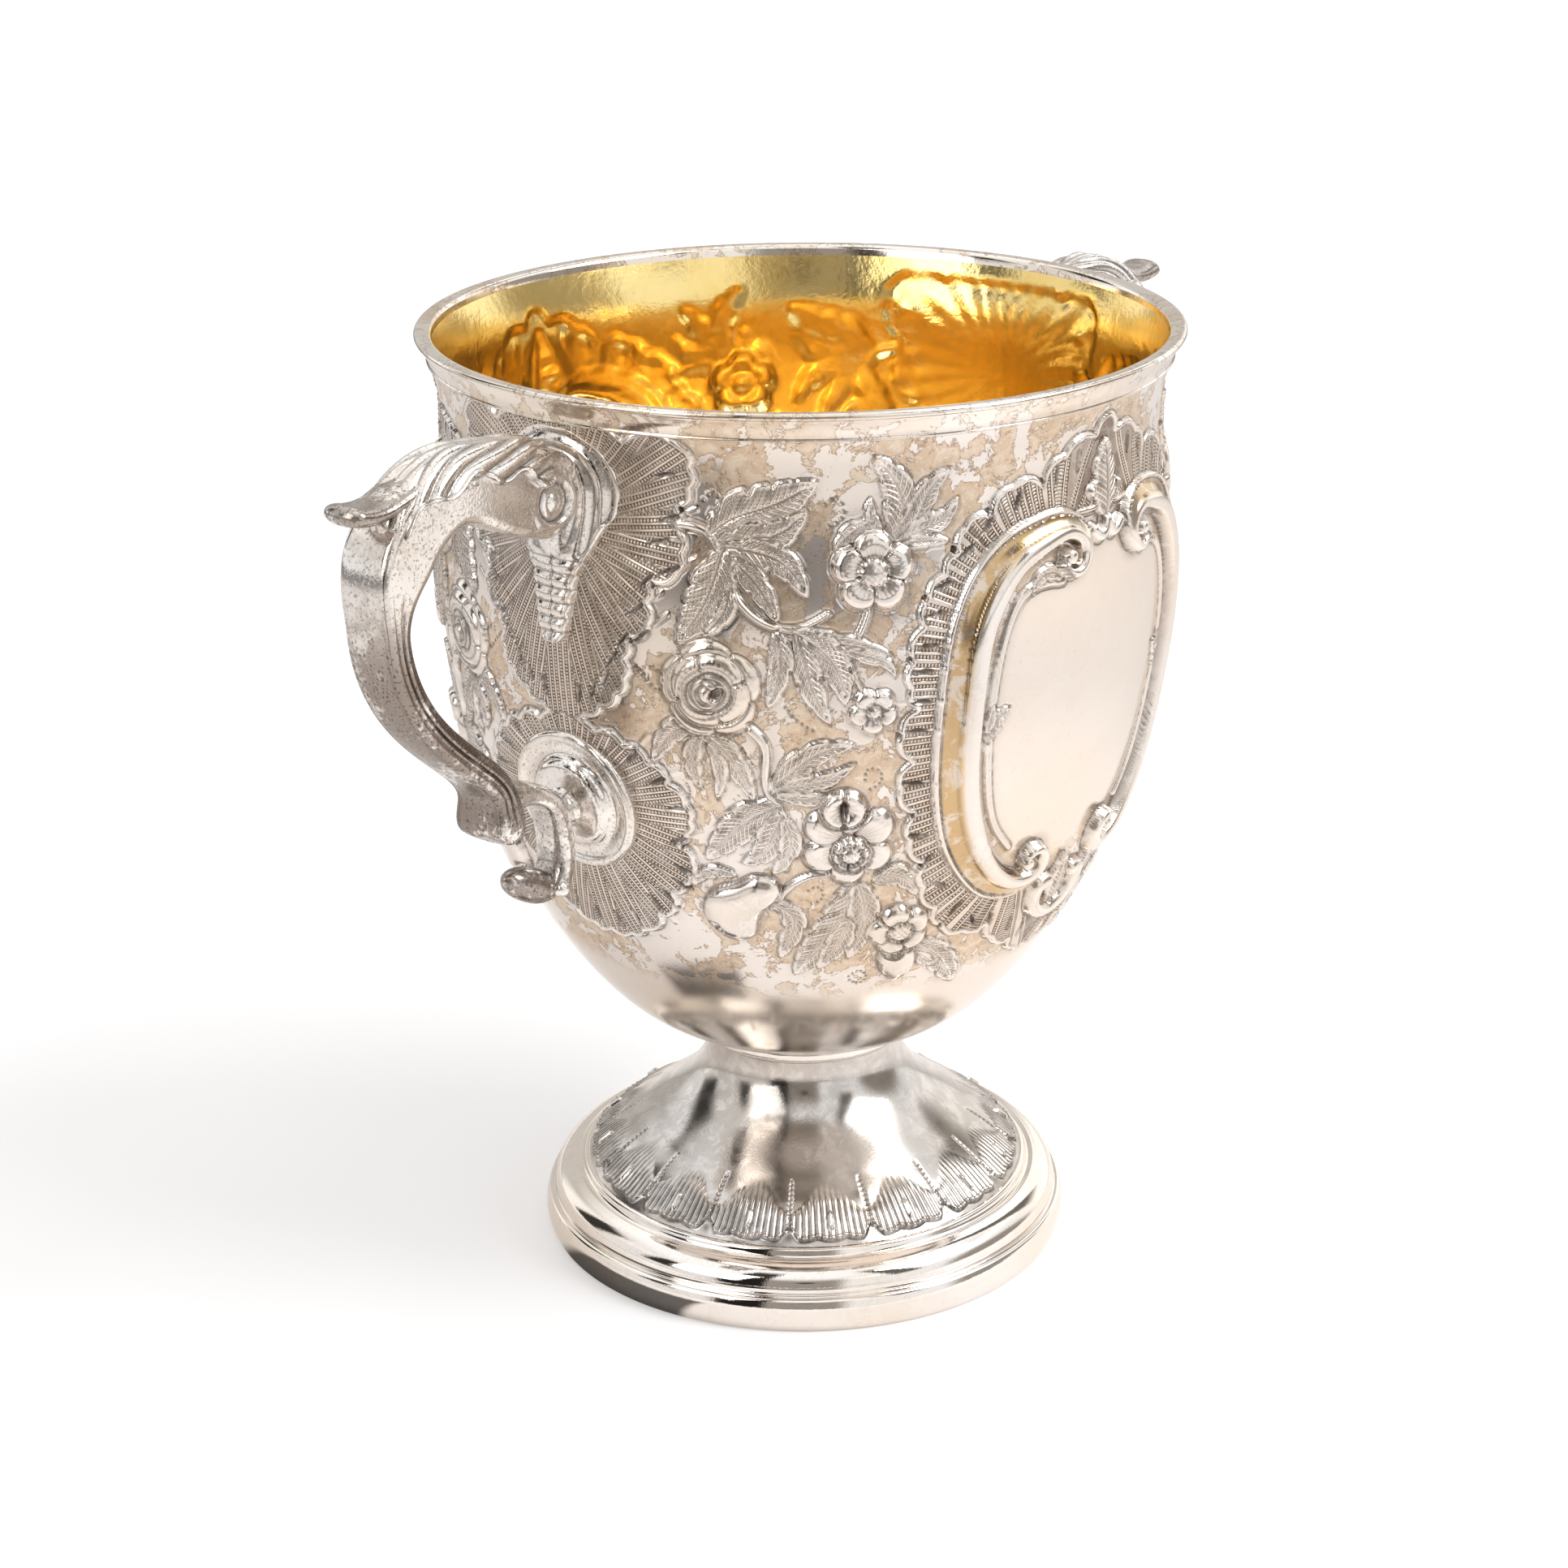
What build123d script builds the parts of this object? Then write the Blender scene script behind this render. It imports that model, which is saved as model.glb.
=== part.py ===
from build123d import *
from math import cos, pi, radians, sin
import os

# Two-handled silver caudle cup on a raised foot, in millimetres.
# The origin is on the floor under the middle of the foot, Z is up, the handles lie along X
# and the two engraved reserves face -Y and +Y.
# Heights of everything soldered to the wall are measured down from the lip.

# the sizes that lead the others
cup_height = 150.0
belly_radius = 55.9
foot_height = 35.4
foot_radius = 42.9

# bowl
bowl_wall = 1.2
lip_flare = 1.0
waist_pinch = 0.9

# moulded lip wire soldered round the top edge
wire_height = 1.3
wire_stand = 1.2
wire_step = 0.7
wire_depth = 4.4

# foot
neck_radius = 16.2
neck_length = 4.8
dome_height = 11.0
foot_wall = 1.3
ring_ledge = 7.2
ring_base = 5.4
ring_groove = 0.7
ring_roll = 3.9
collar_stand = 1.2
collar_height = 2.4

# chased relief: the frames of the two reserves, the main flowers and the fruits
relief_rise = 0.9
roll_rise = 2.1
frame_width = 7.0
roll_share = 0.55
eye_disc = 3.5
petal_count = 5

# handle: S-scroll strap, width across Y
strap_width = 9.2
strap_thickness = 4.1
strap_edge = 1.2
scroll_head = 12.6
arch_depth = 9.4
crown_spring = 10.5
crown_rise = 6.9
panel_depth = 0.45
panel_border = 1.0
leaf_thickness = 1.0
tongue_width = 7.4
tongue_thickness = 3.0
tongue_reach = 40.6
tongue_drop = 7.4
eye_radius = 2.3
eye_stand = 0.7

# shell plate behind the upper scroll
plate_width = 21.0
plate_head = 9.0
plate_length = 32.0
plate_tail = 5.2
plate_steps = 4
plate_rise = 0.9
plate_inset = 2.0

# stepped boss behind the lower scroll
boss_radius = 11.0
boss_drop = 61.0
boss_tilt = 10.0
boss_bed = 6.0
boss_rim = 1.3
boss_dome = 6.8
boss_rise = 2.7
stub_radius = 2.8

# small reversed scroll and bud under the strap
curl_width = 6.2
curl_thickness = 3.3
bud_radius = 2.6
bud_length = 10.6
bud_pitch = 26.0
bead_radius = 1.2
bead_stand = 0.6


def height_at(drop):
    return cup_height - drop


def side_normal(tangent):
    # unit normal of a curve in the XZ plane, to the left of its direction
    return Vector(-tangent.Y, tangent.X)


def offset_points(curve, start, end, count, half):
    # points beside a curve: half is a distance or a function of the place along it
    points = []
    for i in range(count):
        t = start + (end - start) * i / (count - 1)
        away = half(t) if callable(half) else half
        points.append(curve @ t + side_normal(curve % t) * away)
    return points


# the bowl's outside, as half a section: lip, waist, belly, flank, bilge, turn, keel, seat
lip_radius = belly_radius + lip_flare
seat_radius = neck_radius + 0.3
bowl_top = cup_height - wire_height
bowl_depth = cup_height - foot_height
bowl_side = Spline(
    (lip_radius, bowl_top),
    (belly_radius - waist_pinch, height_at(bowl_depth * 0.07)),
    (belly_radius, height_at(bowl_depth * 0.262)),
    (belly_radius * 0.977, height_at(bowl_depth * 0.454)),
    (belly_radius * 0.887, height_at(bowl_depth * 0.65)),
    (belly_radius * 0.657, height_at(bowl_depth * 0.871)),
    (belly_radius * 0.472, height_at(bowl_depth * 0.96)),
    (seat_radius, foot_height),
)
# the inside runs one wall thickness in from the outside
wire_bore = lip_radius - bowl_wall * 1.15
bowl_inside = [Vector(wire_bore, bowl_top)] + offset_points(bowl_side, 0.04, 0.97, 13, -bowl_wall)
bowl_floor = foot_height + bowl_wall


def wall_radius(z):
    # outside radius of the bowl at a height, found by halving
    low, high = 0.0, 1.0
    for _ in range(40):
        middle = (low + high) / 2
        if (bowl_side @ middle).Y > z:
            low = middle
        else:
            high = middle
    return (bowl_side @ low).X


# turned and raised pieces are drawn on a section halfway between a handle and a reserve
turning = Plane(origin=(0, 0, 0), x_dir=(1, 1, 0), z_dir=(1, -1, 0))

# solid of everything inside the bowl's outer skin, the seat for all that is soldered on
with BuildPart() as bowl_core:
    with BuildSketch(turning):
        with BuildLine():
            add(bowl_side)
            Polyline((seat_radius, foot_height), (0, foot_height), (0, bowl_top), (lip_radius, bowl_top))
        make_face()
    revolve(axis=Axis.Z)

# lip wire: a rounded top roll that caps the wall, a shallow cove and a thin stepped edge below
wire_radius = lip_radius + wire_stand
with BuildPart() as lip_wire:
    with BuildSketch(turning):
        with BuildLine():
            step_radius = wall_radius(height_at(wire_depth)) + wire_step
            Polyline(
                (step_radius, height_at(wire_depth)),
                (wire_bore, height_at(wire_depth)),
                (wire_bore, cup_height),
                (wire_radius, cup_height),
                (wire_radius, bowl_top - wire_step),
            )
            ThreePointArc(
                (wire_radius, bowl_top - wire_step),
                ((wire_radius + step_radius) / 2 - 0.25, height_at(wire_depth / 2 + 0.9)),
                (step_radius, height_at(wire_depth)),
            )
        make_face()
    revolve(axis=Axis.Z)
    add(bowl_core.part, mode=Mode.SUBTRACT)
    fillet(edges().group_by(Axis.Z)[-1], wire_height * 0.45)

# foot: raised dome drawn up into a narrow neck, open underneath
dome_radius = foot_radius - ring_ledge
foot_side = Spline(
    (neck_radius, foot_height),
    (neck_radius - 0.3, foot_height - neck_length),
    (neck_radius + (dome_radius - neck_radius) * 0.17, dome_height + (foot_height - dome_height) * 0.54),
    (neck_radius + (dome_radius - neck_radius) * 0.523, dome_height + (foot_height - dome_height) * 0.311),
    (dome_radius, dome_height),
)
foot_inside = offset_points(foot_side, 0.12, 1.0, 8, -foot_wall)
dome_bore = dome_radius - foot_wall * 1.35
with BuildPart() as foot_dome:
    with BuildSketch(turning):
        with BuildLine():
            add(foot_side)
            inner = Spline(*foot_inside[:-1], (dome_bore, dome_height))
            Line((dome_radius, dome_height), inner @ 1)
            Polyline(inner @ 0, (0, (inner @ 0).Y), (0, foot_height), (neck_radius, foot_height))
        make_face()
    revolve(axis=Axis.Z)

# half-round collar over the joint of bowl and foot
collar_radius = neck_radius + collar_stand
with BuildPart() as foot_collar:
    with BuildSketch(turning):
        with BuildLine():
            low = foot_height - collar_height * 0.75
            high = low + collar_height
            ThreePointArc((neck_radius - 0.4, low), (collar_radius, (low + high) / 2), (neck_radius + 0.9, high))
            Polyline((neck_radius + 0.9, high), (neck_radius - 2, high), (neck_radius - 2, low),
                     (neck_radius - 0.4, low))
        make_face()
    revolve(axis=Axis.Z)
    add(bowl_core.part, mode=Mode.SUBTRACT)
    add(foot_dome.part, mode=Mode.SUBTRACT)
    with BuildSketch(Plane.XY.offset(foot_height - collar_height)):
        Circle(neck_radius - foot_wall)
    extrude(amount=collar_height * 2, mode=Mode.SUBTRACT)

# stepped foot ring: bulged base wall, groove, quarter roll and a fillet up to the dome
groove_radius = foot_radius - ring_groove
roll_radius = foot_radius - ring_roll
roll_top = dome_height - 1.2
with BuildPart() as foot_ring:
    with BuildSketch(turning):
        with BuildLine():
            ThreePointArc((foot_radius - 0.5, 0), (foot_radius, ring_base * 0.45), (groove_radius, ring_base))
            Polyline((groove_radius, ring_base), (groove_radius - 0.9, ring_base + 0.2),
                     (groove_radius - 0.9, ring_base + 0.9))
            ThreePointArc(
                (groove_radius - 0.9, ring_base + 0.9),
                ((groove_radius + roll_radius) / 2 + 0.1, (ring_base + roll_top) / 2 + 1.1),
                (roll_radius - 1.2, roll_top),
            )
            Polyline(
                (roll_radius - 1.2, roll_top),
                (dome_radius + 0.7, roll_top + 0.1),
                (dome_radius + 0.7, dome_height),
                (dome_bore, dome_height),
                (dome_bore, dome_height - foot_wall),
                (foot_radius - 4.2, ring_base),
                (foot_radius - 0.5 - foot_wall, ring_base * 0.5),
                (foot_radius - 0.5 - foot_wall, 0),
                (foot_radius - 0.5, 0),
            )
        make_face()
    revolve(axis=Axis.Z)

# line of the strap's middle in the XZ plane: (distance out from the belly, drop from the lip)
strap_stations = [
    (5.4, 13.0), (15.0, 10.2), (22.5, 8.9), (29.7, 12.2), (34.7, 19.5), (35.2, 29.5),
    (30.3, 39.8), (20.8, 49.0), (16.2, 54.4), (15.6, 59.0),
]
strap_line = Spline(*[(belly_radius + out, height_at(drop)) for out, drop in strap_stations])
head_end = 0.04
arch_start = 0.2
arch_end = 0.36
grip_start = 0.52


def eased(t, start, end, first, last):
    # smooth change from one value to another between two places
    part = min(max((t - start) / (end - start), 0), 1)
    return first + (last - first) * (1 - cos(pi * part)) / 2


def strap_half(t):
    # half thickness along the strap: round scroll head, deep arch, then the even grip
    if t < arch_end:
        return eased(t, head_end, arch_start, scroll_head / 2, arch_depth / 2)
    return eased(t, arch_end, grip_start, arch_depth / 2, strap_thickness / 2)


def ribbon(curve, start, end, count, half):
    # closed band along a curve in the XZ plane, with round ends
    outer = offset_points(curve, start, end, count, half)
    inner = offset_points(curve, start, end, count, lambda t: -(half(t) if callable(half) else half))
    first = half(start) if callable(half) else half
    last = half(end) if callable(half) else half
    Spline(*outer)
    Spline(*inner)
    ThreePointArc(outer[0], curve @ start - (curve % start) * first, inner[0])
    ThreePointArc(outer[-1], curve @ end + (curve % end) * last, inner[-1])


def crown(grow):
    # front view of the arch, in the YZ plane: upright sides under a half oval
    half = strap_width / 2 + 0.25 + grow
    spring = height_at(crown_spring)
    with BuildSketch() as outline:
        with Locations((0, spring)):
            Ellipse(half, crown_rise + grow)
            Rectangle(half * 2, spring, align=(Align.CENTER, Align.MAX))
    return outline.sketch


def skin(rise, end):
    # solid of everything inside a surface that follows the wall, this far out from it
    with BuildPart() as inside:
        with BuildSketch(turning):
            with BuildLine():
                front = Spline(*offset_points(bowl_side, 0.0, end, 14, rise))
                Polyline(front @ 1, (0, (front @ 1).Y), (0, (front @ 0).Y), front @ 0)
            make_face()
        revolve(axis=Axis.Z)
    return inside.part


# one side of a reserve's frame in front view: (distance from the middle, drop from the lip)
frame_stations = [
    (8.8, 20.7), (13.9, 21.0), (19.0, 23.0), (23.0, 27.2), (25.5, 33.0), (26.4, 40.7), (26.4, 49.8),
    (25.2, 58.4), (22.7, 65.6), (19.1, 71.4), (15.1, 75.0), (11.2, 76.2), (8.0, 75.4),
]
frame_line = Spline(*[(out, height_at(drop)) for out, drop in frame_stations])
# flowers and fruits of one quarter: (angle from the handle, drop from the lip, radius)
flowers = [(24.6, 40.3, 7.2), (48.3, 23.2, 5.9), (45.2, 64.0, 7.0), (55.1, 80.6, 4.8)]
fruits = [(26.5, 76.4, 5.2), (55.5, 87.0, 3.5)]


def frame_outline(width, shift, disc):
    # C scroll with a round eye at each end, and its mirror image across the reserve
    with BuildSketch() as outline:
        with BuildLine():
            for away in (shift - width / 2, shift + width / 2):
                Spline(*offset_points(frame_line, 0.0, 1.0, 14, away))
            for t in (0, 1):
                Line(*[offset_points(frame_line, t, t + 1e-6, 2, away)[0]
                       for away in (shift - width / 2, shift + width / 2)])
        make_face()
        for t in (0, 1):
            inward = side_normal(frame_line % t) * (frame_width / 2 - eye_disc)
            with Locations(frame_line @ t - inward):
                Circle(disc)
        mirror(about=Plane.YZ)
    return outline.sketch


def pressed(rise, frame_at, petals):
    # outlines pushed out of the wall to one height: the frames from front and back, the flowers square to the wall
    with BuildPart() as level:
        with BuildSketch(Plane.XZ):
            add(frame_outline(*frame_at))
        extrude(amount=belly_radius * 1.2, both=True)
        for angle, drop, radius in flowers + fruits:
            for turn in (angle, 180 - angle, 180 + angle, 360 - angle):
                out = Vector(cos(radians(turn)), sin(radians(turn)), 0)
                front = Plane(origin=out * belly_radius * 0.6, x_dir=(-out.Y, out.X, 0), z_dir=out)
                with BuildSketch(front):
                    with Locations((0, height_at(drop))):
                        Circle(radius * (0.6 if petals else 0.42))
                        if petals and (angle, drop, radius) in flowers:
                            with PolarLocations(radius * 0.56, petal_count):
                                Circle(radius * 0.42)
                extrude(amount=belly_radius * 0.6)
        add(skin(rise, 0.86), mode=Mode.INTERSECT)
        add(skin(-bowl_wall / 2, 0.97), mode=Mode.SUBTRACT)
    return level.part


# the bowl: one sheet with its relief pushed out in two heights
with BuildPart() as bowl:
    with BuildSketch(turning):
        with BuildLine():
            add(bowl_side)
            Polyline((seat_radius, foot_height), (0, foot_height), (0, bowl_floor))
            inner = Spline(*bowl_inside)
            Line(inner @ 1, (0, bowl_floor))
            Line(inner @ 0, (lip_radius, bowl_top))
        make_face()
    revolve(axis=Axis.Z)
    add(pressed(relief_rise, (frame_width, 0, eye_disc), True))
    add(pressed(roll_rise, (frame_width * roll_share, -frame_width * (1 - roll_share) / 2, eye_disc * 0.6), False))

# the whole strap before its side panels are sunk, also used to seat what touches it
with BuildPart() as strap_blank:
    with BuildSketch(Plane.XZ):
        with BuildLine():
            ribbon(strap_line, 0.0, 1.0, 24, strap_half)
        make_face()
    extrude(amount=strap_width / 2, both=True)
    fillet(faces().group_by(Axis.Y)[0].edges() + faces().group_by(Axis.Y)[-1].edges(), strap_edge)
    with BuildSketch(Plane.YZ):
        add(crown(0))
    extrude(amount=belly_radius * 2, mode=Mode.INTERSECT)

# shell plate: a teardrop in stepped terraces that wraps the bowl's wall
plate_top = wire_depth + 0.2
plate_middle = height_at(plate_top + plate_head)
plate_end = height_at(plate_top + plate_length)


def teardrop(inset):
    # plate outline, drawn smaller by the inset: an oval head and a waisted tail with a round tip
    half = plate_width / 2 - inset
    head = plate_head - inset
    tail = plate_tail / 2 - inset * 0.22
    low = plate_end + inset * 0.9
    joint = (half * 0.866, plate_middle - head * 0.5)
    waist = (half * 0.866 * 0.42 + tail * 0.45, joint[1] * 0.55 + (low + tail) * 0.45)
    with BuildSketch() as outline:
        with Locations((0, plate_middle)):
            Ellipse(half, head)
        with BuildLine():
            ThreePointArc(joint, waist, (tail, low + tail))
            ThreePointArc((-joint[0], joint[1]), (-waist[0], waist[1]), (-tail, low + tail))
            ThreePointArc((tail, low + tail), (0, low), (-tail, low + tail))
            Line(joint, (-joint[0], joint[1]))
        make_face()
    return outline.sketch


def terrace(step):
    # one step of the plate: its outline pressed through a skin that follows the wall
    with BuildPart() as slab:
        with BuildSketch(turning):
            with BuildLine():
                front = Spline(*offset_points(bowl_side, 0.0, 0.6, 10, plate_rise * (step + 1)))
                Polyline(front @ 1, (0, (front @ 1).Y), (0, (front @ 0).Y), front @ 0)
            make_face()
        revolve(axis=Axis.Z)
        with BuildSketch(Plane.YZ.offset(belly_radius * 0.8)):
            add(teardrop(step * plate_inset))
        extrude(amount=belly_radius * 0.4, mode=Mode.INTERSECT)
        add(bowl_core.part, mode=Mode.SUBTRACT)
    return slab.part


with BuildPart() as handle_right_shell_plate:
    for step in range(plate_steps):
        add(terrace(step))

# eye of the upper scroll, a pin right through the head with a round button on each side
eye_centre = strap_line @ 0 + Vector(-0.2, -1.0)
with BuildPart() as handle_right_scroll_eye:
    with BuildSketch(Plane.XZ):
        with Locations(eye_centre):
            Circle(eye_radius)
    extrude(amount=strap_width / 2 + eye_stand, both=True)
    fillet(edges().filter_by(GeomType.CIRCLE), eye_stand * 0.9)

# strap with a sunk panel down both sides of the grip, seated on the plate
panel_start = grip_start - 0.08
panel_end = 0.94
with BuildPart() as handle_right_strap:
    add(strap_blank.part)
    for side in (1, -1):
        with BuildSketch(Plane.XZ.offset(side * strap_width / 2)):
            with BuildLine():
                ribbon(strap_line, panel_start, panel_end, 12, lambda t: strap_half(t) - panel_border)
            make_face()
        extrude(amount=-side * panel_depth, mode=Mode.SUBTRACT)
    add(handle_right_shell_plate.part, mode=Mode.SUBTRACT)
    add(handle_right_scroll_eye.part, mode=Mode.SUBTRACT)

# acanthus leaf draped over the arch: a thin saddle with lobed edges down both sides
leaf_end = 0.34
leaf_lobes = 4
leaf_cusps = [0.01 + (leaf_end - 0.01) * i / leaf_lobes for i in range(leaf_lobes + 1)]
with BuildPart() as handle_right_acanthus_leaf:
    with BuildSketch(Plane.XZ):
        with BuildLine():
            crest = offset_points(strap_line, 0.0, leaf_end, 9, lambda t: strap_half(t) + leaf_thickness)
            back = (crest[0].X - scroll_head / 2, crest[0].Y - leaf_thickness * 2)
            top = Spline(back, *crest)
            cusp = [offset_points(strap_line, t, t + 0.001, 2, strap_half(t) * 0.46)[0] for t in leaf_cusps]
            for i in range(leaf_lobes):
                t = (leaf_cusps[i] + leaf_cusps[i + 1]) / 2
                lobe = offset_points(strap_line, t, t + 0.001, 2, strap_half(t) * 0.12)[0]
                ThreePointArc(cusp[i], lobe, cusp[i + 1])
            Line(cusp[-1], top @ 1)
            Polyline(cusp[0], (back[0], cusp[0].Y), back)
        make_face()
    extrude(amount=strap_width, both=True)
    with BuildSketch(Plane.YZ):
        add(crown(leaf_thickness))
    extrude(amount=belly_radius * 2, mode=Mode.INTERSECT)
    add(strap_blank.part, mode=Mode.SUBTRACT)
    add(handle_right_shell_plate.part, mode=Mode.SUBTRACT)
    add(bowl_core.part, mode=Mode.SUBTRACT)

# thumb tongue: a flat lip with a round end, standing out from the shoulder of the arch
tongue_top = height_at(tongue_drop)
tongue_low = tongue_top - tongue_thickness
tongue_end = belly_radius + tongue_reach
shoulder = strap_line @ leaf_end
with BuildPart() as handle_right_thumb_tongue:
    with BuildSketch(Plane.XZ):
        with BuildLine():
            root = crest[-2]
            Spline(root, (tongue_end - 5, tongue_top - 0.3), (tongue_end, tongue_top))
            ThreePointArc((tongue_end, tongue_top), (tongue_end + tongue_thickness / 2, (tongue_top + tongue_low) / 2),
                          (tongue_end, tongue_low))
            heel = strap_line @ (arch_end + 0.08)
            Spline((tongue_end, tongue_low), (tongue_end - 3.4, tongue_low - 1.0), (heel.X + 2, heel.Y))
            Polyline((heel.X + 2, heel.Y), (shoulder.X, shoulder.Y), root)
        make_face()
    extrude(amount=tongue_width / 2, both=True)
    with BuildSketch(Plane.XY.offset(heel.Y - 2)):
        with Locations((tongue_end + tongue_thickness / 2, 0)):
            RectangleRounded(tongue_reach, tongue_width, tongue_width * 0.42, align=(Align.MAX, Align.CENTER))
    extrude(amount=tongue_reach, mode=Mode.INTERSECT)
    add(strap_blank.part, mode=Mode.SUBTRACT)
    add(handle_right_acanthus_leaf.part, mode=Mode.SUBTRACT)

# stepped boss on the wall, turned about an axis square to the wall
boss_height = height_at(boss_drop)
boss_axis = Vector(cos(radians(boss_tilt)), 0, -sin(radians(boss_tilt)))
boss_foot = Vector(wall_radius(boss_height), 0, boss_height)
boss_section = Plane(origin=boss_foot, x_dir=(0, 1, 0), z_dir=(-sin(radians(boss_tilt)), 0, -cos(radians(boss_tilt))))
with BuildPart() as handle_right_boss:
    with BuildSketch(boss_section):
        with BuildLine():
            Polyline((0, -boss_bed), (boss_radius, -boss_bed), (boss_radius, boss_rim * 0.4))
            ThreePointArc((boss_radius, boss_rim * 0.4), (boss_radius - 0.5, boss_rim * 0.9),
                          (boss_radius - 1.4, boss_rim))
            ThreePointArc((boss_radius - 1.4, boss_rim), (boss_dome + 1.0, boss_rim - 0.25), (boss_dome, boss_rim + 0.5))
            ThreePointArc((boss_dome, boss_rim + 0.5), (boss_dome * 0.78, boss_rise * 0.86), (stub_radius, boss_rise))
            Polyline((stub_radius, boss_rise), (0, boss_rise), (0, -boss_bed))
        make_face()
    revolve(axis=Axis(boss_foot, boss_axis))
    add(bowl_core.part, mode=Mode.SUBTRACT)

# small reversed scroll: over from the strap's heel, down past the boss and out to the bud
curl_stations = [(14.6, 57.6), (9.0, 56.8), (4.4, 59.6), (2.6, 64.5), (2.6, 69.6), (4.2, 73.2)]
curl_line = Spline(*[(belly_radius + out, height_at(drop)) for out, drop in curl_stations])
curl_end = curl_line @ 1
with BuildPart() as handle_right_curl_bead:
    with BuildSketch(Plane.XZ):
        with Locations(curl_line @ 0.95):
            Circle(bead_radius)
    extrude(amount=curl_width / 2 + bead_stand, both=True)
    fillet(edges().filter_by(GeomType.CIRCLE), bead_stand * 0.9)

with BuildPart() as handle_right_lower_curl:
    with BuildSketch(Plane.XZ):
        with BuildLine():
            ribbon(curl_line, 0.0, 1.0, 12, curl_thickness / 2)
        make_face()
    extrude(amount=curl_width / 2, both=True)
    fillet(faces().group_by(Axis.Y)[0].edges() + faces().group_by(Axis.Y)[-1].edges(), curl_thickness * 0.25)
    add(strap_blank.part, mode=Mode.SUBTRACT)
    add(handle_right_curl_bead.part, mode=Mode.SUBTRACT)
    add(handle_right_boss.part, mode=Mode.SUBTRACT)

# short round stub that carries the scroll off the boss
stub_length = belly_radius + curl_stations[3][0] - wall_radius(boss_height)
with BuildPart() as handle_right_boss_stub:
    with BuildSketch(Plane(origin=boss_foot, z_dir=boss_axis).offset(boss_rise)):
        Circle(stub_radius)
    extrude(amount=stub_length - boss_rise)
    add(handle_right_lower_curl.part, mode=Mode.SUBTRACT)

# bud: a blunt bullet on the end of the small scroll, pointing out and a little up
pitch = radians(bud_pitch)
bud_section = Plane(origin=(curl_end.X, 0, curl_end.Y), x_dir=(cos(pitch), 0, sin(pitch)), z_dir=(0, -1, 0))
with BuildPart() as handle_right_bud:
    with BuildSketch(bud_section):
        with BuildLine():
            Spline((0, bud_radius * 0.72), (bud_length * 0.36, bud_radius), (bud_length * 0.8, bud_radius * 0.78),
                   (bud_length, 0), tangents=((1, 0.4), (0, -1)))
            Polyline((bud_length, 0), (0, 0), (0, bud_radius * 0.72))
        make_face()
    revolve(axis=Axis(bud_section.origin, bud_section.x_dir))
    add(handle_right_lower_curl.part, mode=Mode.SUBTRACT)
    add(handle_right_curl_bead.part, mode=Mode.SUBTRACT)

# the handle at -X is the mirror image of the one at +X
right_handle = {
    "strap": handle_right_strap,
    "scroll_eye": handle_right_scroll_eye,
    "acanthus_leaf": handle_right_acanthus_leaf,
    "thumb_tongue": handle_right_thumb_tongue,
    "shell_plate": handle_right_shell_plate,
    "boss": handle_right_boss,
    "boss_stub": handle_right_boss_stub,
    "lower_curl": handle_right_lower_curl,
    "curl_bead": handle_right_curl_bead,
    "bud": handle_right_bud,
}
pieces = {
    "bowl": bowl,
    "lip_wire": lip_wire,
    "foot_collar": foot_collar,
    "foot_dome": foot_dome,
    "foot_ring": foot_ring,
}
for name, right in right_handle.items():
    with BuildPart() as left:
        mirror(right.part, about=Plane.YZ)
    pieces["handle_right_" + name] = right
    pieces["handle_left_" + name] = left

os.makedirs("parts", exist_ok=True)
for name, piece in pieces.items():
    piece.part.label = name
    export_step(piece.part, "parts/" + name + ".step")
    print(name, len(piece.part.solids()), round(piece.part.volume, 1))
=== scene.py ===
import math

import bmesh
import bpy
import numpy as np
from mathutils import Matrix


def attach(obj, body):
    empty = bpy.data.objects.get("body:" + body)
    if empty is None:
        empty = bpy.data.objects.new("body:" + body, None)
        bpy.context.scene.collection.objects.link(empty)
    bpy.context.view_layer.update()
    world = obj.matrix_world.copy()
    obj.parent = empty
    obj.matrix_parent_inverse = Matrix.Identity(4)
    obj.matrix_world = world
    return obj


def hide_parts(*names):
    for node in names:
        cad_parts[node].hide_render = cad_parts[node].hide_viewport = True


# Two-handled silver cup on a domed foot. Surfaces are worked out in millimetres and put into the
# mesh in metres. The handles lie along X; the quarter between a handle and a reserve is worked
# once and mirrored to the other three.
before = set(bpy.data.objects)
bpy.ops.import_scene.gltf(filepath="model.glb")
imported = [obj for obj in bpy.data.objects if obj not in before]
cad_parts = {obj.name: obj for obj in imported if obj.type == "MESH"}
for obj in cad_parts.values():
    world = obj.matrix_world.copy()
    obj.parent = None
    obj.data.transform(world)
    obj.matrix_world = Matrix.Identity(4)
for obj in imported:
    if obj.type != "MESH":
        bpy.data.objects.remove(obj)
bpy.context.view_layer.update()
print("frame loaded:", len(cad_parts), "nodes")

mm = 0.001
pi = math.pi


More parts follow.
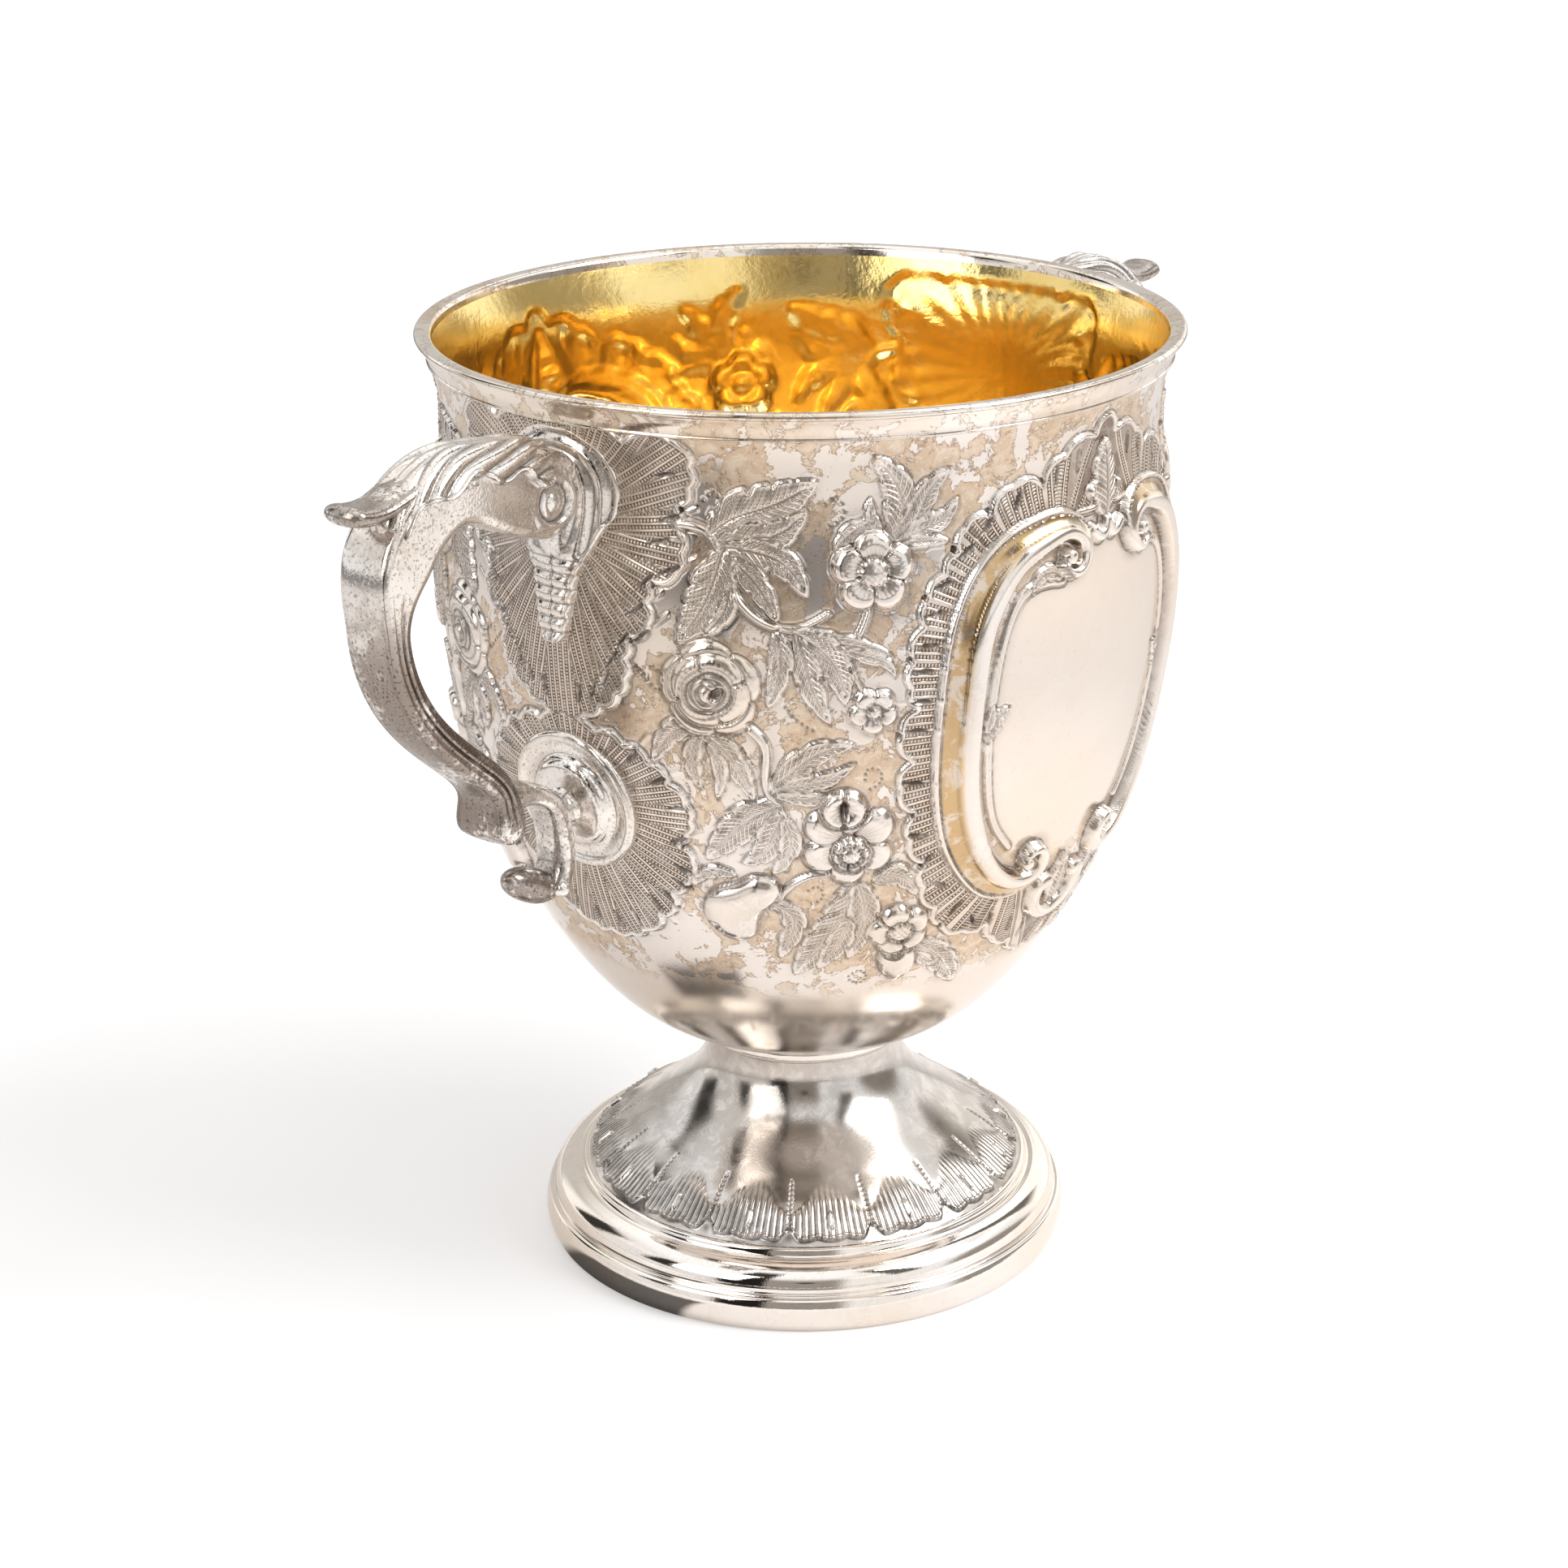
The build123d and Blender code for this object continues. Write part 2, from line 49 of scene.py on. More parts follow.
# shapes in numbers
def smoothLine(points, count):
    # natural cubic spline through the points over their running chord length, sampled evenly
    p = np.asarray(points, float)
    s = np.concatenate([[0.0], np.cumsum(np.linalg.norm(np.diff(p, axis=0), axis=1))])
    h = np.diff(s)
    n = len(p)
    a = np.eye(n)
    b = np.zeros_like(p)
    i = np.arange(1, n - 1)
    a[i, i - 1] = h[:-1]
    a[i, i] = 2 * (h[:-1] + h[1:])
    a[i, i + 1] = h[1:]
    b[i] = 6 * (np.diff(p[1:], axis=0) / h[1:, None] - np.diff(p[:-1], axis=0) / h[:-1, None])
    m = np.linalg.solve(a, b)
    at = np.linspace(0, s[-1], count)
    k = np.clip(np.searchsorted(s, at, side="right") - 1, 0, n - 2)
    step = h[k][:, None]
    u = (at - s[k])[:, None]
    w = step - u
    bend = (m[k] * w**3 + m[k + 1] * u**3) / (6 * step)
    return bend + (p[k] / step - m[k] * step / 6) * w + (p[k + 1] / step - m[k + 1] * step / 6) * u


def ease(value, low, high):
    # 0 below low, 1 above high, and a smooth S between them
    t = np.clip((value - low) / (high - low), 0, 1)
    return t * t * (3 - 2 * t)


def bump(value, width):
    # bell curve: 1 at zero, falling away over the width
    return np.exp(-((value / width) ** 2))


def makeSheet(name, xyz, ringU=False, ringV=False, flip=False, marks=None, weld=False):
    # a grid of points xyz[u, v] in mm as one mesh of quads, closed round u or v where asked
    nu, nv = xyz.shape[:2]
    index = np.arange(nu * nv).reshape(nu, nv)
    if ringU:
        index = np.vstack([index, index[:1]])
    if ringV:
        index = np.hstack([index, index[:, :1]])
    quads = np.stack([index[:-1, :-1], index[1:, :-1], index[1:, 1:], index[:-1, 1:]], -1).reshape(-1, 4)
    if flip:
        quads = quads[:, ::-1]
    mesh = bpy.data.meshes.new(name)
    mesh.vertices.add(nu * nv)
    mesh.vertices.foreach_set("co", np.ascontiguousarray(xyz * mm, dtype=np.float32).ravel())
    mesh.loops.add(quads.size)
    mesh.loops.foreach_set("vertex_index", np.ascontiguousarray(quads, dtype=np.int32).ravel())
    mesh.polygons.add(len(quads))
    mesh.polygons.foreach_set("loop_start", np.arange(0, quads.size, 4, dtype=np.int32))
    mesh.polygons.foreach_set("use_smooth", np.ones(len(quads), dtype=bool))
    mesh.update(calc_edges=True)
    for mark, values in (marks or {}).items():
        values = np.broadcast_to(values, xyz.shape[:2] + np.shape(values)[2:])
        kind = "FLOAT_VECTOR" if values.ndim == 3 else "FLOAT"
        layer = mesh.attributes.new(mark, kind, "POINT")
        layer.data.foreach_set("vector" if values.ndim == 3 else "value", np.ascontiguousarray(values, dtype=np.float32).ravel())
    if weld:
        work = bmesh.new()
        work.from_mesh(mesh)
        bmesh.ops.remove_doubles(work, verts=work.verts, dist=1e-6)
        bmesh.ops.dissolve_degenerate(work, edges=work.edges, dist=1e-7)
        work.to_mesh(mesh)
        work.free()
    piece = bpy.data.objects.new(name, mesh)
    bpy.context.scene.collection.objects.link(piece)
    return piece


def putOn(piece, material, slot, *nodes):
    # gives a piece its finish and its body, and hides the CAD nodes that it stands for
    piece.data.materials.clear()
    piece.data.materials.append(material)
    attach(piece, "root")
    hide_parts(*nodes)
    return piece


def turned(name, profile, around, marks=None, relief=None):
    # a profile of (radius, height) points turned about Z; relief is added along the profile's own normal
    profile = np.asarray(profile, float)
    angle = np.linspace(0, 2 * pi, around, endpoint=False)
    radius = np.broadcast_to(profile[:, 0], (around, len(profile)))
    height = np.broadcast_to(profile[:, 1], (around, len(profile)))
    if relief is not None:
        along = np.gradient(profile, axis=0)
        along /= np.linalg.norm(along, axis=1)[:, None] + 1e-9
        radius = radius + relief * along[:, 1]
        height = height - relief * along[:, 0]
    xyz = np.stack([radius * np.cos(angle)[:, None], radius * np.sin(angle)[:, None], height], -1)
    return makeSheet(name, xyz, ringU=True, marks=marks)


# shader maths
class Link:
    # a node's socket that can stand in an expression: values go through Math, colours and vectors through Vector Math
    def __init__(self, shader, socket):
        self.shader = shader
        self.socket = socket
        self.wide = socket.type in ("VECTOR", "RGBA")

    def withOther(self, other, operation, swap=False):
        wide = self.wide or (isinstance(other, Link) and other.wide)
        a, b = (other, self) if swap else (self, other)
        if wide:
            fill = lambda v: (v, v, v) if isinstance(v, (int, float)) else v
            return self.shader.node("ShaderNodeVectorMath", {"operation": operation}, {0: fill(a), 1: fill(b)})
        return self.shader.node("ShaderNodeMath", {"operation": operation}, {0: a, 1: b})

    def __add__(self, other):
        return self.withOther(other, "ADD")

    def __radd__(self, other):
        return self.withOther(other, "ADD", True)

    def __sub__(self, other):
        return self.withOther(other, "SUBTRACT")

    def __rsub__(self, other):
        return self.withOther(other, "SUBTRACT", True)

    def __mul__(self, other):
        return self.withOther(other, "MULTIPLY")

    def __rmul__(self, other):
        return self.withOther(other, "MULTIPLY", True)

    def __truediv__(self, other):
        return self.withOther(other, "DIVIDE")

    def __rtruediv__(self, other):
        return self.withOther(other, "DIVIDE", True)

    def __pow__(self, other):
        return self.withOther(other, "POWER")

    def part(self, operation, other=0.5):
        # one-sided Math such as FRACT, FLOOR, ABSOLUTE or SQRT, and MAXIMUM or MODULO with a second value
        return self.shader.node("ShaderNodeMath", {"operation": operation}, {0: self, 1: other})

    def step(self, low, high):
        # smooth 0 to 1 between two values
        ends = {"From Min": low, "From Max": high, "To Min": 0.0, "To Max": 1.0}
        return self.shader.node("ShaderNodeMapRange", {"interpolation_type": "SMOOTHSTEP"}, {"Value": self, **ends})


class Shader:
    # a material and its nodes
    def __init__(self, name, owner=None):
        self.material = owner or bpy.data.materials.new(name)
        self.material.use_nodes = True
        self.tree = self.material.node_tree
        self.tree.nodes.clear()

    def node(self, kind, settings=None, inputs=None, out=0):
        made = self.tree.nodes.new(kind)
        for key, value in (settings or {}).items():
            if key == "stops":
                ramp = made.color_ramp
                while len(ramp.elements) < len(value):
                    ramp.elements.new(0.5)
                for element, (place, colour) in zip(ramp.elements, value):
                    element.position = place
                    element.color = (*colour, 1.0)
            else:
                setattr(made, key, value)
        for key, value in (inputs or {}).items():
            if isinstance(value, Link):
                self.tree.links.new(value.socket, made.inputs[key])
            elif isinstance(value, (int, float)):
                made.inputs[key].default_value = value
            else:
                socket = made.inputs[key]
                full = tuple(value) + (1.0,) if socket.type == "RGBA" and len(value) == 3 else tuple(value)
                socket.default_value = full
        return Link(self, made.outputs[out])

    def mark(self, name, vector=False):
        return self.node("ShaderNodeAttribute", {"attribute_name": name}, out="Vector" if vector else "Fac")

    def place(self):
        return self.node("ShaderNodeTexCoord", out="Object")

    def noise(self, where, size, detail=3.0, roughness=0.55, distortion=0.0):
        # size is the width of one patch in millimetres
        values = {"Vector": where, "Scale": 1000.0 / size, "Detail": detail, "Roughness": roughness, "Distortion": distortion}
        return self.node("ShaderNodeTexNoise", {}, values)

    def mixColour(self, factor, first, second):
        # first where factor is 0, second where it is 1
        made = self.tree.nodes.new("ShaderNodeMix")
        made.data_type = "RGBA"
        for index, value in ((0, factor), (6, first), (7, second)):
            if isinstance(value, Link):
                self.tree.links.new(value.socket, made.inputs[index])
            elif isinstance(value, (int, float)):
                made.inputs[index].default_value = value
            else:
                made.inputs[index].default_value = (*value, 1.0)
        return Link(self, made.outputs[2])

    def relief(self, height, distance, under=None):
        inputs = {"Height": height, "Distance": distance * mm, "Strength": 1.0}
        if under is not None:
            inputs["Normal"] = under
        return self.node("ShaderNodeBump", {}, inputs)

    def surface(self, **inputs):
        made = self.tree.nodes.new("ShaderNodeBsdfPrincipled")
        for key, value in inputs.items():
            socket = made.inputs[{"colour": "Base Color", "metal": "Metallic", "roughness": "Roughness", "normal": "Normal",
                                  "coat": "Coat Weight", "light": "Emission Color"}[key]]
            if isinstance(value, Link):
                self.tree.links.new(value.socket, socket)
            else:
                socket.default_value = (*value, 1.0) if isinstance(value, tuple) else value
        end = self.tree.nodes.new("ShaderNodeOutputMaterial")
        self.tree.links.new(made.outputs[0], end.inputs["Surface"])
        return self.material


# the chased bowl
bowl = {
    "stations": [(56.9, 148.7), (55.0, 142.0), (55.9, 120.0), (54.6, 98.0), (49.6, 75.5), (36.7, 50.2), (26.4, 40.0), (16.5, 35.4)],
    "wall": 1.2,
    "cell": 0.245,  # size of one face of the chased part
    "chasedFrom": 55.5,
    "chasedTo": 146.5,
}
bowlLine = smoothLine(bowl["stations"], 600)[::-1]
lineRadius, lineHeight = bowlLine[:, 0], bowlLine[:, 1]
lineRun = np.concatenate([[0.0], np.cumsum(np.linalg.norm(np.diff(bowlLine, axis=0), axis=1))])


def radiusAt(z):
    return np.interp(z, lineHeight, lineRadius)


def runAt(z):
    # length along the wall from the seat up to a height
    return np.interp(z, lineHeight, lineRun)


chasedRun = runAt(bowl["chasedTo"]) - runAt(bowl["chasedFrom"])
rowsRun = np.concatenate([
    np.linspace(0, runAt(bowl["chasedFrom"]), 34, endpoint=False),
    np.linspace(runAt(bowl["chasedFrom"]), runAt(bowl["chasedTo"]), int(chasedRun / bowl["cell"]), endpoint=False),
    np.linspace(runAt(bowl["chasedTo"]), lineRun[-1], 8),
])
rowsZ = np.interp(rowsRun, lineRun, lineHeight)
rowsR = np.interp(rowsRun, lineRun, lineRadius)
colsPhi = np.linspace(0, 90, 2 * int(44.0 / bowl["cell"]) + 1)
gridPhi, gridZ = np.meshgrid(colsPhi, rowsZ)
gridR = np.broadcast_to(rowsR[:, None], gridPhi.shape)
gridRun = np.broadcast_to(rowsRun[:, None], gridPhi.shape)

# what the chaser has left so far: height, dark in the lines, scale punches and where each falls, polish
relief = np.zeros(gridPhi.shape)
dark = np.zeros(gridPhi.shape)
scaled = np.zeros(gridPhi.shape)
scaleAt = np.zeros(gridPhi.shape + (3,))
amber = np.zeros(gridPhi.shape)


def window(points, margin):
    # the part of the quarter near some (angle, height) points, with places in mm from their middle
    at = np.asarray(points, float)
    wide = margin / 0.9
    rows = slice(*np.searchsorted(rowsZ, [at[:, 1].min() - margin, at[:, 1].max() + margin]))
    cols = slice(*np.searchsorted(colsPhi, [at[:, 0].min() - wide, at[:, 0].max() + wide]))
    middle = (at.min(axis=0) + at.max(axis=0)) / 2
    x = np.radians(gridPhi[rows, cols] - middle[0]) * gridR[rows, cols]
    y = gridRun[rows, cols] - runAt(middle[1])
    line = np.stack([np.radians(at[:, 0] - middle[0]) * radiusAt(at[:, 1]), runAt(at[:, 1]) - runAt(middle[1])], -1)
    return (rows, cols), x, y, line


def alongLine(x, y, line):
    # nearest place on a fine line, as 0 to 1 along it, and the distance from it, positive on its left
    best = np.full(x.shape, 1e9)
    place = np.zeros(x.shape)
    side = np.ones(x.shape)
    for k, (a, b) in enumerate(zip(line[:-1], line[1:])):
        run = b - a
        t = np.clip(((x - a[0]) * run[0] + (y - a[1]) * run[1]) / (run @ run + 1e-12), 0, 1)
        dx = x - (a[0] + t * run[0])
        dy = y - (a[1] + t * run[1])
        d = dx * dx + dy * dy
        nearer = d < best
        best = np.where(nearer, d, best)
        place = np.where(nearer, (k + t) / (len(line) - 1), place)
        side = np.where(nearer, np.where(run[0] * dy - run[1] * dx >= 0, 1.0, -1.0), side)
    return place, np.sqrt(best) * side


def insideOf(x, y, outline):
    # distance in from a closed outline, negative outside it
    closed = np.vstack([outline, outline[:1]])
    _, d = alongLine(x, y, closed)
    inside = np.zeros(x.shape, dtype=bool)
    for a, b in zip(closed[:-1], closed[1:]):
        crosses = (a[1] > y) != (b[1] > y)
        inside ^= crosses & (x < a[0] + (y - a[1]) * (b[0] - a[0]) / (b[1] - a[1] + 1e-12))
    return np.where(inside, np.abs(d), -np.abs(d))


def scallops(points, bulge, steps=9):
    # arcs between neighbouring points, each swelling to the right of its direction by a share of its length
    p = np.asarray(points, float)
    t = np.linspace(0, 1, steps)[None, :-1, None]
    a, b = p[:-1, None], p[1:, None]
    run = b - a
    out = np.stack([run[..., 1], -run[..., 0]], -1)
    arcs = a + run * t + out * bulge * np.sin(pi * t) ** 0.8
    return np.vstack([arcs.reshape(-1, 2), p[-1:]])


def lay(sub, edge, height, lines, soft=0.28, tracer=0.3):
    # lays one worked shape over what is there: edge is the distance in from its outline, lines its dark work
    cover = ease(edge, -soft / 2, soft / 2)
    relief[sub] = relief[sub] * (1 - cover) + height * cover
    dark[sub] = dark[sub] * (1 - cover) + np.clip(lines, 0, 1) * cover
    scaled[sub] = scaled[sub] * (1 - ease(edge, -0.5, 0.0))
    rim = bump(edge + tracer * 0.55, tracer * 0.5)
    relief[sub] -= 0.13 * rim
    dark[sub] = np.maximum(dark[sub], 0.8 * rim)


def leaf(spine, width, lobes=3, rise=1.0, cut=0.32, lean=0.22, left=1.0, right=1.0):
    # acanthus leaf: half width swells along the spine and is notched into lobes, each lobe domed between
    # a middle vein and slanting side veins
    sub, x, y, line = window(spine, width + 1.0)
    if x.size == 0:
        return
    t, d = alongLine(x, y, smoothLine(line, 36))
    half = width * np.where(d > 0, left, right)
    body = np.sin(pi * np.clip(t, 0.001, 0.999) ** 0.72) ** 0.62
    out = np.clip(np.abs(d) / half, 0, 1)
    phase = lobes * (t - lean * out)
    notch = (0.5 + 0.5 * np.cos(2 * pi * phase)) ** 4
    reach = half * body * (1 - cut * notch * ease(out, 0.2, 0.8))
    q = np.clip(np.abs(d) / np.maximum(reach, 0.05), 0, 1)
    fine = np.cos(2 * pi * 4.0 * phase)
    height = rise * (0.45 + 0.55 * body) * (1 - q**2.6) ** 0.5
    height = height - 0.4 * rise * bump(d, 0.22) * (t < 0.9) - 0.2 * notch * q + 0.06 * fine * q
    lines = 0.7 * bump(d, 0.17) * (t < 0.85) + 0.5 * notch * ease(q, 0.2, 0.55) + 0.34 * (0.5 - 0.5 * fine) ** 2 * ease(q, 0.05, 0.4)
    edge = reach - np.abs(d)
    lay(sub, edge, height + 0.24 * bump(edge - 0.26, 0.2), lines * ease(edge, 0.25, 0.6))
    scaled[sub] = np.maximum(scaled[sub], 0.55 * ease(edge, 0.5, 0.8) * ease(np.abs(d), 0.2, 0.35))
    scaleAt[sub] = np.where((edge > 0)[..., None], np.stack([np.abs(d) / 0.44, 4 * phase, 0 * d], -1), scaleAt[sub])


def stem(spine, width, rise=0.8, taper=0.5):
    # round stem along a line, with a groove on each side
    sub, x, y, line = window(spine, width + 0.8)
    if x.size == 0:
        return
    t, d = alongLine(x, y, smoothLine(line, 40))
    half = width / 2 * (1 - taper * t)
    q = np.clip(np.abs(d) / half, 0, 1)
    lay(sub, half - np.abs(d), rise * np.sqrt(1 - q**2), 0.3 * bump(d, 0.1))


def flower(centre, reach, petals, turn=0.0, rise=1.2, heart=0.3, deep=0.75, squash=1.0):
    # open flower: petals cupped towards their tips, fine lines towards the heart, a beaded boss
    sub, x, y, _ = window([centre, centre], reach + 1.0)
    if x.size == 0:
        return
    y = y / squash
    rho = np.hypot(x, y) + 1e-6
    alpha = np.arctan2(y, x)
    wave = np.abs(np.cos(petals * (alpha - turn) / 2))
    edge = reach * (deep + (1 - deep) * wave**0.6)
    q = np.clip(rho / edge, 0, 1)
    gap = bump(wave * rho, 0.32)
    height = rise * (0.25 + 0.75 * np.sin(pi * q**1.2 * 0.72) ** 1.2) * (1 - q**9) - 0.5 * rise * gap
    rays = np.cos(alpha * petals * 7)
    height = height + 0.06 * rays * (1 - q)
    lines = 0.85 * gap + 0.6 * ease(0.75 - q, 0, 0.45) * (0.5 - 0.5 * rays)
    boss = reach * heart
    dome = np.clip(1 - (rho / boss) ** 2, 0, 1)
    beads = np.cos(alpha * 12) * bump(rho - boss * 0.98, 0.35)
    height = np.where(rho < boss, 0.35 * rise + 0.75 * rise * np.sqrt(dome), height) + 0.22 * beads
    seed = np.cos(x * 7) * np.cos(y * 7)
    lines = np.where(rho < boss * 0.8, 0.45 * (seed > 0.1), lines) + 0.7 * bump(rho - boss * 1.12, 0.22)
    lay(sub, edge - rho, height, lines)


def rose(centre, reach, lean=0.0):
    # full rose: five outer petals, four inner ones turned between them, and an oval bud of wrapped
    # petals, drawn as circles whose centres shift along the bud, round a dark hollow
    flower(centre, reach, 5, turn=0.4, rise=0.85, heart=0.1, deep=0.86)
    flower(centre, reach * 0.8, 4, turn=1.1, rise=1.1, heart=0.1, deep=0.9)
    sub, x, y, _ = window([centre, centre], reach)
    c, sn = math.cos(0.7), math.sin(0.7)
    u, v = (x * c + y * sn + lean * 0.5) / reach, (y * c - x * sn) / reach
    q = np.hypot(u / 0.56, v / 0.46)
    height = 1.45 - 0.55 * q**2
    lines = 0 * q
    for shift, size, width in ((0.10, 0.38, 0.035), (-0.06, 0.33, 0.03), (0.12, 0.25, 0.03), (-0.02, 0.17, 0.03)):
        ring = np.hypot(u - shift, v + 0.4 * shift) - size
        height = height - 0.32 * bump(ring, 1.5 * width) + 0.1 * (ring < 0)
        lines = np.maximum(lines, 0.9 * bump(ring, width))
    pit = ease(0.12 - np.hypot((u - 0.16) * 0.6, v + 0.12), 0.0, 0.04)
    rays = 0.5 + 0.5 * np.cos(np.arctan2(v, u) * 34)
    lay(sub, (1 - q) * reach * 0.5, height - 0.9 * pit, np.maximum(lines, 0.95 * pit) + 0.3 * rays * ease(q, 0.6, 0.8))


def fruit(outline, rise=1.8, shoulder=3.0):
    # swollen fruit: a dome over a smooth closed outline
    sub, x, y, line = window(outline, 1.0)
    ring = smoothLine(np.vstack([line, line[:1]]), 60)[:-1]
    edge = insideOf(x, y, ring)
    swell = np.clip(edge / shoulder, 0, 1)
    lay(sub, edge, rise * np.sqrt(1 - (1 - swell) ** 2), 0.25 * bump(edge, 0.3))


def drops(spots, length=3.8, width=1.15, depth=0.45):
    # long teardrop punches: (angle, height, lean in degrees from upright)
    for phi, z, tilt in spots:
        sub, x, y, _ = window([(phi, z)], length)
        if x.size == 0:
            continue
        c, s = math.cos(math.radians(tilt)), math.sin(math.radians(tilt))
        along, across = x * s + y * c, x * c - y * s
        thick = width / 2 * np.clip(0.75 + 0.5 * along / length, 0.3, 1.2)
        q = np.clip(1 - (along / (length / 2)) ** 2, 0, 1) - (across / thick) ** 2
        mark = ease(q, 0.0, 0.45)
        relief[sub] -= depth * mark - 0.12 * bump(q, 0.35)
        dark[sub] = np.maximum(dark[sub], mark)
        scaled[sub] *= 1 - mark


def dots(spine, count, size=0.26):
    # a row of small round punches along a line
    sub, x, y, line = window(spine, 0.8)
    if x.size == 0:
        return
    for cx, cy in smoothLine(line, count):
        mark = bump(np.hypot(x - cx, y - cy), size)
        relief[sub] -= 0.22 * mark
        dark[sub] = np.maximum(dark[sub], 0.9 * ease(mark, 0.2, 0.8))


def shellFan(outline, hub, groups, bulge=0.22):
    # scalloped fan of scale punches: rows run out from the hub in groups, each group on its own line
    sub, x, y, line = window(outline, 1.2)
    rim = scallops(line, bulge)
    edge = insideOf(x, y, rim)
    middle = (np.asarray(outline, float).min(axis=0) + np.asarray(outline, float).max(axis=0)) / 2
    hx = math.radians(hub[0] - middle[0]) * radiusAt(hub[1])
    hy = runAt(hub[1]) - runAt(middle[1])
    dx, dy = x - hx, y - hy
    turn = 2 * pi / groups
    alpha = np.arctan2(dx, -dy)
    axis = np.round(alpha / turn) * turn
    out = dx * np.sin(axis) - dy * np.cos(axis)
    across = dx * np.cos(axis) + dy * np.sin(axis)
    seam = np.abs(alpha / turn - np.round(alpha / turn))
    fold = 0.5 + 0.5 * np.cos(2 * pi * alpha / turn)
    cord = bump(edge - 0.45, 0.3)
    height = 0.35 + 0.14 * fold + 0.3 * cord
    lay(sub, edge, height, 0.5 * bump(edge - 0.95, 0.2))
    inner = ease(edge, 0.8, 1.1)
    scaled[sub] = np.maximum(scaled[sub] * (edge < 0), inner * ease(0.5 - seam, 0.0, 0.02))
    scaleAt[sub] = np.where((edge > 0)[..., None], np.stack([out / 0.52, across / 0.98, 0 * out], -1), scaleAt[sub])


def mirrored(rightSide):
    # outline closed over the handle's line: the right side from the bottom up, then down the left
    left = [(-phi, z) for phi, z in rightSide[::-1] if phi > 0]
    return list(rightSide) + left + [rightSide[0]]


# the fan behind the shell plate and the one behind the boss, by the points where their scallops meet
upperFan = [(0, 102.0), (4.2, 102.9), (7.4, 104.8), (10.4, 107.2), (12.0, 110.0), (12.0, 113.0), (12.6, 116.0), (16.0, 118.6),
            (15.6, 121.6), (16.0, 124.4), (20.2, 126.2), (20.9, 129.0), (20.6, 132.3), (20.2, 135.2), (22.1, 138.4),
            (22.3, 141.5), (21.5, 144.4), (12.0, 145.0)]
lowerFan = [(0, 65.6), (4.8, 65.7), (8.3, 67.3), (12.8, 71.0), (15.9, 73.0), (16.2, 75.4), (18.4, 77.2), (19.9, 79.2),
            (20.6, 81.6), (18.6, 84.4), (20.0, 86.2), (20.9, 88.6), (20.2, 91.4), (17.6, 94.5), (14.5, 97.8), (10.5, 100.0),
            (5.5, 101.3)]

# the reserve's frame: the middle line of its C scroll from the upper eye to the lower, and its border
scroll = {
    "line": [(80.4, 124.9), (79.4, 123.5), (81.2, 122.4), (83.6, 124.0), (83.7, 127.0), (80.8, 129.3), (75.5, 129.0), (70.0, 127.0),
             (65.6, 122.8), (62.8, 117.0), (61.6, 109.3), (61.2, 100.2), (61.9, 91.6), (64.0, 84.4), (67.7, 78.6), (72.2, 75.0),
             (76.8, 73.8), (80.6, 74.6), (82.0, 77.2), (80.4, 79.3), (78.2, 78.9), (78.2, 77.4)],
    "widthAt": [0, 0.05, 0.12, 0.2, 0.3, 0.7, 0.82, 0.9, 0.96, 1],
    "width": [1.2, 2.0, 4.2, 5.8, 6.9, 6.9, 5.6, 3.6, 2.0, 1.2],
    "border": [(97, 143.0), (90.0, 144.2), (87.2, 141.4), (80.4, 139.8), (76.3, 136.2), (70.6, 136.8), (66.6, 133.4), (62.2, 131.8),
               (60.8, 128.6), (58.8, 125.8), (56.0, 122.6), (55.2, 118.6), (53.6, 113.6), (53.4, 109.6), (54.6, 106.4),
               (52.2, 102.6), (54.0, 98.2), (52.4, 94.0), (54.8, 89.6), (54.6, 85.0), (57.6, 80.8), (57.8, 76.6),
               (60.6, 72.4), (63.0, 68.6), (68.0, 66.6), (73.8, 66.4), (76.6, 63.2), (82.0, 61.6), (85.6, 58.8), (90, 58.0), (97, 59)],
}


